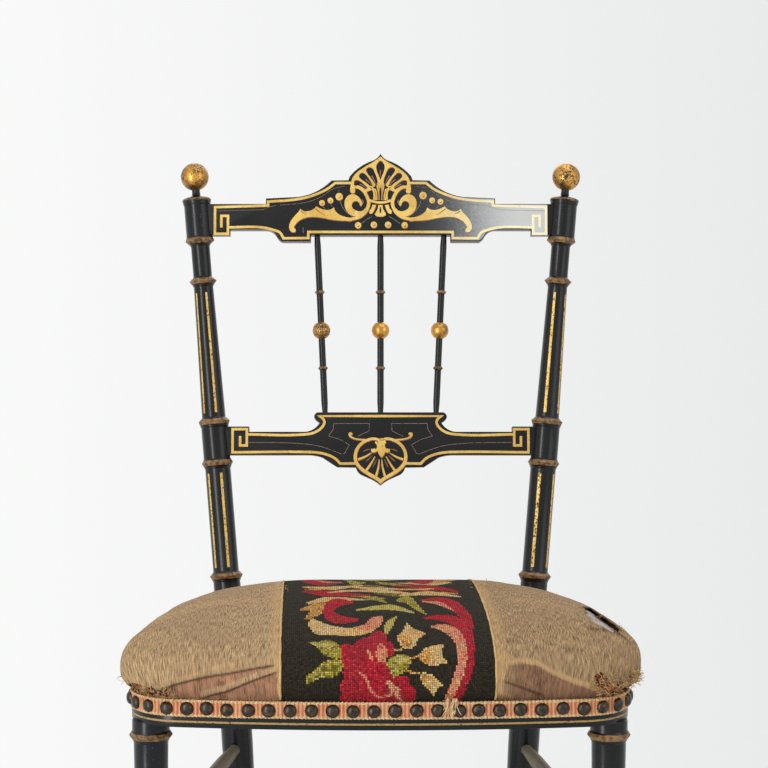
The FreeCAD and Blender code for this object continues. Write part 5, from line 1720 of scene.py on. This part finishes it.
def needlework():
    finish = Finish("needlework")
    across, along, _ = finish.axes(finish.cloth())
    u, v = across.fract(), along.fract()
    pillow = (u * math.pi).sin() * (v * math.pi).sin()
    slant = ((across + along) * (math.pi * 3)).sin()
    colour = finish.attribute("stitch", out="Color")
    # painted shade in the gaps between the stitches
    colour = finish.mix((1 - pillow.step(0.02, 0.55)) * 0.72, colour, screen(20, 15, 11))
    fuzz = finish.noise(1800, 3, 0.7)
    colour = finish.mix(fuzz.step(0.5, 0.8) * 0.16, colour, screen(190, 176, 150))
    lint = finish.noise(420, 5, 0.8).step(0.72, 0.8)
    colour = finish.mix(lint * 0.55, colour, screen(150, 140, 122))
    return finish.surface(Base_Color=colour, Roughness=0.82 + fuzz * 0.12, Specular_IOR_Level=0.12,
                          Normal=finish.bump(pillow + slant * 0.22 + fuzz * 0.25, 0.9, 0.0007))


bmesh.ops.recalc_face_normals(shape, faces=shape.faces)
panel = piece("needlework_panel", shape, needlework(), ["needlepoint_panel"], sharp=80)
if sum(face.normal.z * face.area for face in panel.data.polygons) < 0:
    panel.data.flip_normals()
thickened(panel, needle["thick"])
2 * half / 1000
round(panelLength / 1000, 3)


def rawCloth():
    finish = Finish("raw cloth edge")
    fray = finish.noise(900, 4, 0.7)
    broad = finish.noise(80, 4, 0.6)
    colour = finish.ramp(fray * 0.6 + broad * 0.4, [(0.3, screen(150, 112, 66)), (0.5, screen(206, 168, 110)),
                                                   (0.7, screen(232, 204, 152))])
    return finish.surface(Base_Color=colour, Roughness=0.85 + fray * 0.1,
                          Normal=finish.bump(fray, 0.8, 0.0008))


rawEdge = rawCloth()


def threads(name, lines, radius, finish):  # loose threads: thin round strands along lines of points
    curve = bpy.data.curves.new(name, "CURVE")
    curve.dimensions = "3D"
    curve.bevel_depth = radius
    curve.bevel_resolution = 0
    curve.use_fill_caps = True
    for line in lines:
        spline = polyline(curve, line)
        for number, point in enumerate(spline.points):
            point.radius = 0.55 if number in (0, len(line) - 1) else 1.0
    shape = bmesh.new()
    addCurve(shape, name, curve)
    return piece(name, shape, finish, sharp=80)


def seam(word, side):  # the raw edge of the velvet, lying beside the panel
    shape = bmesh.new()
    rows = []
    edgeColumn = columns[-1] if side > 0 else columns[0]
    for number, spot in enumerate(edgeColumn):
        if spot.z < 424.5:
            continue
        _, normal, _, _ = coverTree.find_nearest(spot)
        wander = 0.35 * noise.noise(spot * 0.12)
        wide = 1.3 + 0.7 * noise.noise(spot * 0.3 + Vector((5, 5, 5)))
        rows.append([shape.verts.new(spot + panelAcross * side * (wander + wide * share) + normal * lift)
                     for share, lift in ((-0.3, 0.1), (-0.1, 0.6), (0.35, 0.85), (0.8, 0.7), (1.1, 0.05))])
    for one, after in zip(rows, rows[1:]):
        bridge(shape, one, after)
    bmesh.ops.recalc_face_normals(shape, faces=shape.faces)
    piece("raw_edge_" + word, shape, rawEdge, sharp=80)


for word, side in sides:
    seam(word, side)

print("braid and nails")
trim = {"pitch": 3.4, "step": 0.85, "low": 409.7, "middle": 7, "stop": 346, "rearHalf": 133,
        "nailPitch": 17.5, "nailShift": -4.6, "nailMargin": 3, "nailUp": 416.4, "nailOut": 0.85,
        "nailRadius": 5.9, "nailDome": 3.9, "width": 0.017, "front": 1.118, "rear": 0.266, "thick": 0.6,
        # how far the braid stands out, and its height above its lower edge
        "profile": ((-0.2, 0), (0.9, 0.3), (1.35, 1.5), (0.75, 2.7), (0.8, 7.0), (0.75, 11.2), (1.35, 12.3),
                    (1.0, 13.6), (-0.6, 14.0))}


def braidFinish():
    finish = Finish("woven braid")
    along, up, _ = finish.axes(finish.cloth())
    bars = (along * (math.tau / 0.0034)).sin()
    fine = (along * (math.tau / 0.0009)).sin()
    fray = finish.noise(1100, 4, 0.7)
    blotch = finish.noise(70, 4, 0.6)
    salmon = finish.mix(blotch.step(0.35, 0.7), screen(200, 116, 82), screen(222, 150, 108))
    colour = finish.mix((bars + (fray - 0.5) * 1.6).step(0.35, 1.0) * 0.85, salmon, screen(220, 186, 136))
    edge = (abs(up - 0.0078) + (fray - 0.5) * 0.002).step(0.0049, 0.0058)
    cream = finish.mix(fray.step(0.4, 0.6), screen(184, 146, 96), screen(240, 212, 162))
    colour = finish.mix(edge, colour, cream)
    # painted shade in the hollows between the braid's ribs
    colour = finish.mix((1 - bars.step(-1.0, -0.55)) * 0.5, colour, screen(132, 74, 54))
    colour = finish.mix(finish.noise(420, 4, 0.7).step(0.6, 0.72) * 0.5, colour, screen(120, 86, 56))
    return finish.surface(Base_Color=colour, Roughness=0.82 + fray * 0.12, Specular_IOR_Level=0.2,
                          Normal=finish.bump(bars * 0.6 + fine * 0.25 + fray * 0.7, 0.6, 0.0006))


def nailFinish():
    finish = Finish("nail bronze")
    patina = finish.noise(260, 4, 0.65)
    colour = finish.ramp(patina, [(0.35, screen(36, 31, 27)), (0.58, screen(66, 55, 43)),
                                  (0.85, screen(124, 94, 58))])
    return finish.surface(Base_Color=colour, Metallic=0.55, Roughness=0.24 + patina * 0.16,
                          Normal=finish.bump(patina, 0.12, 0.0003))


def evenly(line, step):
    length = sum((after - one).length for one, after in zip(line, line[1:]))
    return spacedOut(line, round(length / step))


def frontPath(out, height):
    return openPath(-out, height, frontLine + trim["stop"], counts=(60, 40, 60, 8, 18))


def rearPath(out, height):
    rear = frontLine + chair["depth"] + out
    return [Vector((trim["rearHalf"] * (1 - step / 40), rear, height)) for step in range(81)]


def braidStrip(name, route, stands):
    base, length = evenly(route(0.8, trim["low"]), trim["step"])
    paths = []
    for out, up in trim["profile"]:
        path, _ = spacedOut(route(out, trim["low"] + up), len(base) - 1)
        edge = abs(up - trim["middle"]) / trim["middle"]
        for number, spot in enumerate(path):
            wave = abs(math.sin(math.pi * length * number / len(base) / trim["pitch"]))
            spot.z += math.copysign(0.75 * wave * smoothStep(0.75, 0.95, edge), up - trim["middle"])
            spot.z += 0.25 * noise.noise(spot * 0.05)
        paths.append(path)
    shape, rows = strip(paths, False)
    heights = [up for _, up in trim["profile"]]
    mapped(shape, rows, lambda row, column: (length * column / len(base) / 1000, (heights[row] + 0.8) / 1000))
    bmesh.ops.recalc_face_normals(shape, faces=shape.faces)
    made = piece(name, shape, braidCloth, stands, sharp=60)
    thickened(made, trim["thick"])


braidCloth = braidFinish()
braidStrip("woven_braid_front", frontPath, ["braid"])
braidStrip("woven_braid_rear", rearPath, [])


def nail(shape, spot, outward):
    radius, rise = trim["nailRadius"] * random.uniform(0.97, 1.03), trim["nailDome"]
    made = bmesh.new()
    points = [(radius, 0), (radius * 0.985, 0.5), (radius * 0.86, rise * 0.52), (radius * 0.62, rise * 0.8),
              (radius * 0.32, rise * 0.96), (0, rise)]
    spun(made, [made.verts.new((across, 0, up)) for across, up in points], 18)
    rim = [edge for edge in made.edges if edge.is_boundary]
    bmesh.ops.contextual_create(made, geom=rim)
    bmesh.ops.recalc_face_normals(made, faces=made.faces)
    turn = Vector((0, 0, 1)).rotation_difference(outward).to_matrix().to_4x4()
    bmesh.ops.transform(made, matrix=Matrix.Translation(spot) @ turn, verts=made.verts)
    mesh = bpy.data.meshes.new("nail")
    made.to_mesh(mesh)
    made.free()
    shape.from_mesh(mesh)
    bpy.data.meshes.remove(mesh)


shape = bmesh.new()
for route, shift in ((frontPath, trim["nailShift"]), (rearPath, 0)):
    line, length = evenly(route(trim["nailOut"], trim["nailUp"]), 0.5)
    reach = int((length / 2 - trim["nailMargin"]) / trim["nailPitch"])
    for number in range(-reach, reach + 1):
        run = length / 2 + number * trim["nailPitch"] + shift + random.uniform(-0.8, 0.8)
        place = min(len(line) - 3, max(2, round(run / length * (len(line) - 1))))
        heading = (line[place + 2] - line[place - 2]).normalized()
        spot = line[place] + Vector((0, 0, random.uniform(-0.5, 0.5)))
        nail(shape, spot, Vector((heading.y, -heading.x, 0)))
piece("dome_nails", shape, nailFinish(), ["braid_nails"], sharp=60)

print("loose threads")


def yarn(name, light, dark):
    finish = Finish(name)
    tone = finish.noise(260, 3, 0.6)
    return finish.surface(Base_Color=finish.mix(tone.step(0.35, 0.65), dark, light),
                          Roughness=0.8 + tone * 0.1, Normal=finish.bump(tone, 0.4, 0.0004))


def strand(start, heading, length, curl=0.6, parts=6):
    spots, way = [start], heading.normalized()
    for number in range(parts):
        way = (way + Vector([random.uniform(-curl, curl) for axis in range(3)])).normalized()
        spots.append(spots[-1] + way * length / parts)
    return spots


# Where threads stand: a box in the photograph, how many, their length, which way and how curly.
fluff = {
    "tan": (((628, 671, 638, 693), 190, (3, 8), (1.0, -0.2, 0.1), 0.6),
            ((600, 606, 617, 618), 34, (4, 9), (0.5, -0.2, 0.9), 0.9),
            ((616, 623, 624, 632), 12, (3, 6), (0.6, -0.3, 0.6), 0.7),
            ((592, 672, 631, 698), 110, (4, 9), (0.2, -0.5, -0.3), 0.7),
            ((124, 682, 173, 700), 110, (4, 8), (0.1, -0.6, -0.4), 0.6),
            ((586, 610, 618, 630), 16, (3, 7), (0.6, -0.2, -0.3), 0.5),
            ((281, 583, 288, 592), 10, (2, 4), (0.2, -0.3, 0.6), 0.7),
            ((469, 581, 486, 590), 24, (2, 5), (0.3, -0.3, 0.7), 0.9)),
    "ochre": (((120, 676, 129, 698), 26, (4, 9), (-1.0, -0.3, -0.1), 0.4),
              ((125, 683, 150, 698), 26, (4, 8), (0, -0.6, -0.7), 0.5),
              ((594, 684, 632, 700), 60, (4, 9), (0.8, -0.5, 0), 0.5)),
    "cream": (((446, 697, 458, 702), 22, (8, 16), (-0.1, -0.4, -1), 0.3),),
}
# Each thread's radius, how far it stands in front of the cloth, and its two colours.
yarns = {"tan": (0.2, 0, screen(206, 172, 116), screen(142, 106, 64)),
         "ochre": (0.2, 0, screen(222, 166, 84), screen(150, 96, 44)),
         "cream": (0.34, 1.6, screen(246, 222, 172), screen(206, 170, 118))}
for colour, places in fluff.items():
    radius, before, light, dark = yarns[colour]
    lines = []
    for (left, high, right, low), count, (short, long), way, curl in places:
        for number in range(count):
            start = onCover(random.uniform(left, right), random.uniform(high, low), 0.1)
            length = random.uniform(short, long)
            if start is not None:
                start.y -= before
                lines.append(strand(start, Vector(way), length, curl))
    threads(colour + "_threads", lines, radius, yarn(colour + " thread", light, dark))


def steelTack():
    finish = Finish("tack steel")
    rust = finish.noise(420, 4, 0.7)
    colour = finish.mix(rust.step(0.45, 0.65), screen(96, 98, 102), screen(104, 66, 40))
    return finish.surface(Base_Color=colour, Metallic=0.8, Roughness=0.4 + rust * 0.3,
                          Normal=finish.bump(rust, 0.3, 0.0003))


refinished("webbing_tacks", steelTack())

print("floor, light and camera")
studio = {
    "worldLight": 0.6, "floor": (0.7, 1.15),  # the floor fades out between these distances
    # each light: where it stands, where it looks, its size and its power
    "lights": {"key_light": ((-1.5, -1.9, 1.9), (0, 0, 0.55), (1.6, 1.6), 2),
               "window_light": ((-1.32, -1.72, 0.8), (-0.15, 0.15, 0.8), (0.5, 2.2), 27),
               "fill_light": ((1.9, -1.2, 1.3), (0, 0, 0.55), (1.4, 1.4), 8),
               "back_light": ((0.3, 2.2, 1.8), (0, 0, 0.6), (1.6, 1.6), 10),
               "sky_light": ((0.5, 0.1, 2.6), (0, 0, 0.5), (1.8, 1.8), 14)},
}


def stageFloor():
    shape = bmesh.new()
    bmesh.ops.create_circle(shape, cap_ends=True, segments=96, radius=1.5)
    mesh = bpy.data.meshes.new("studio_floor")
    shape.to_mesh(mesh)
    shape.free()
    finish = Finish("studio floor")
    x, y, _ = finish.axes()
    reach = (x * x + y * y).root()
    tone = finish.mix(finish.noise(3, 3), screen(236, 236, 235), screen(230, 230, 229))
    rough = finish.noise(40, 2) * 0.1 + 0.75
    shader = finish.node("BsdfPrincipled", None, {"Base Color": tone, "Roughness": rough})
    clear = finish.node("BsdfTransparent")
    mixed = finish.node("MixShader", None, {0: reach.step(*studio["floor"]), 1: shader, 2: clear})
    finish.node("OutputMaterial", None, {"Surface": mixed})
    mesh.materials.append(finish.material)
    placed("studio_floor", mesh)


def softBox(name, place, aim, size, power):
    light = bpy.data.lights.new(name, "AREA")
    light.shape = "RECTANGLE"
    light.size, light.size_y = size
    light.energy = power
    made = placed(name, light)
    made.location = place
    made.rotation_euler = (Vector(aim) - Vector(place)).to_track_quat("-Z", "Y").to_euler()


def studioWorld():  # a pale wall behind the chair, also in what shines, and a weaker light from all round
    world = bpy.data.worlds.new("studio_world")
    bpy.context.scene.world = world
    world.use_nodes = True
    air = Nodes(world.node_tree)
    across = air.node("SeparateXYZ", None, {0: air.node("TexCoord", out="Generated")})
    aside = air.node("MapRange", None, {0: across, 1: -0.17, 2: 0.17})  # a shade greyer to the right
    wall = air.mix(aside, screen(249, 250, 249), screen(233, 234, 234))
    shown = air.node("Background", None, {"Color": wall, "Strength": 1.0})
    lit = air.node("Background", None, {"Color": (0.97, 0.985, 1.0), "Strength": studio["worldLight"]})
    seen, shining, through = (air.node("LightPath", out=f"Is {ray} Ray")
                              for ray in ("Camera", "Glossy", "Transmission"))
    both = air.node("MixShader", None, {0: seen.most(shining).most(through), 1: lit, 2: shown})
    air.node("OutputWorld", None, {"Surface": both})


stageFloor()
for name, settings in studio["lights"].items():
    softBox(name, *settings)
studioWorld()

camera = bpy.data.cameras.new("photo_camera")
camera.lens = view["lens"]
camera.sensor_width = 36
viewer = placed("photo_camera", camera)
viewer.location = [part / 1000 for part in view["camera"]]
viewer.rotation_euler = (tilt, 0, 0)
bpy.context.scene.camera = viewer
bpy.context.scene.view_settings.view_transform = "Standard"
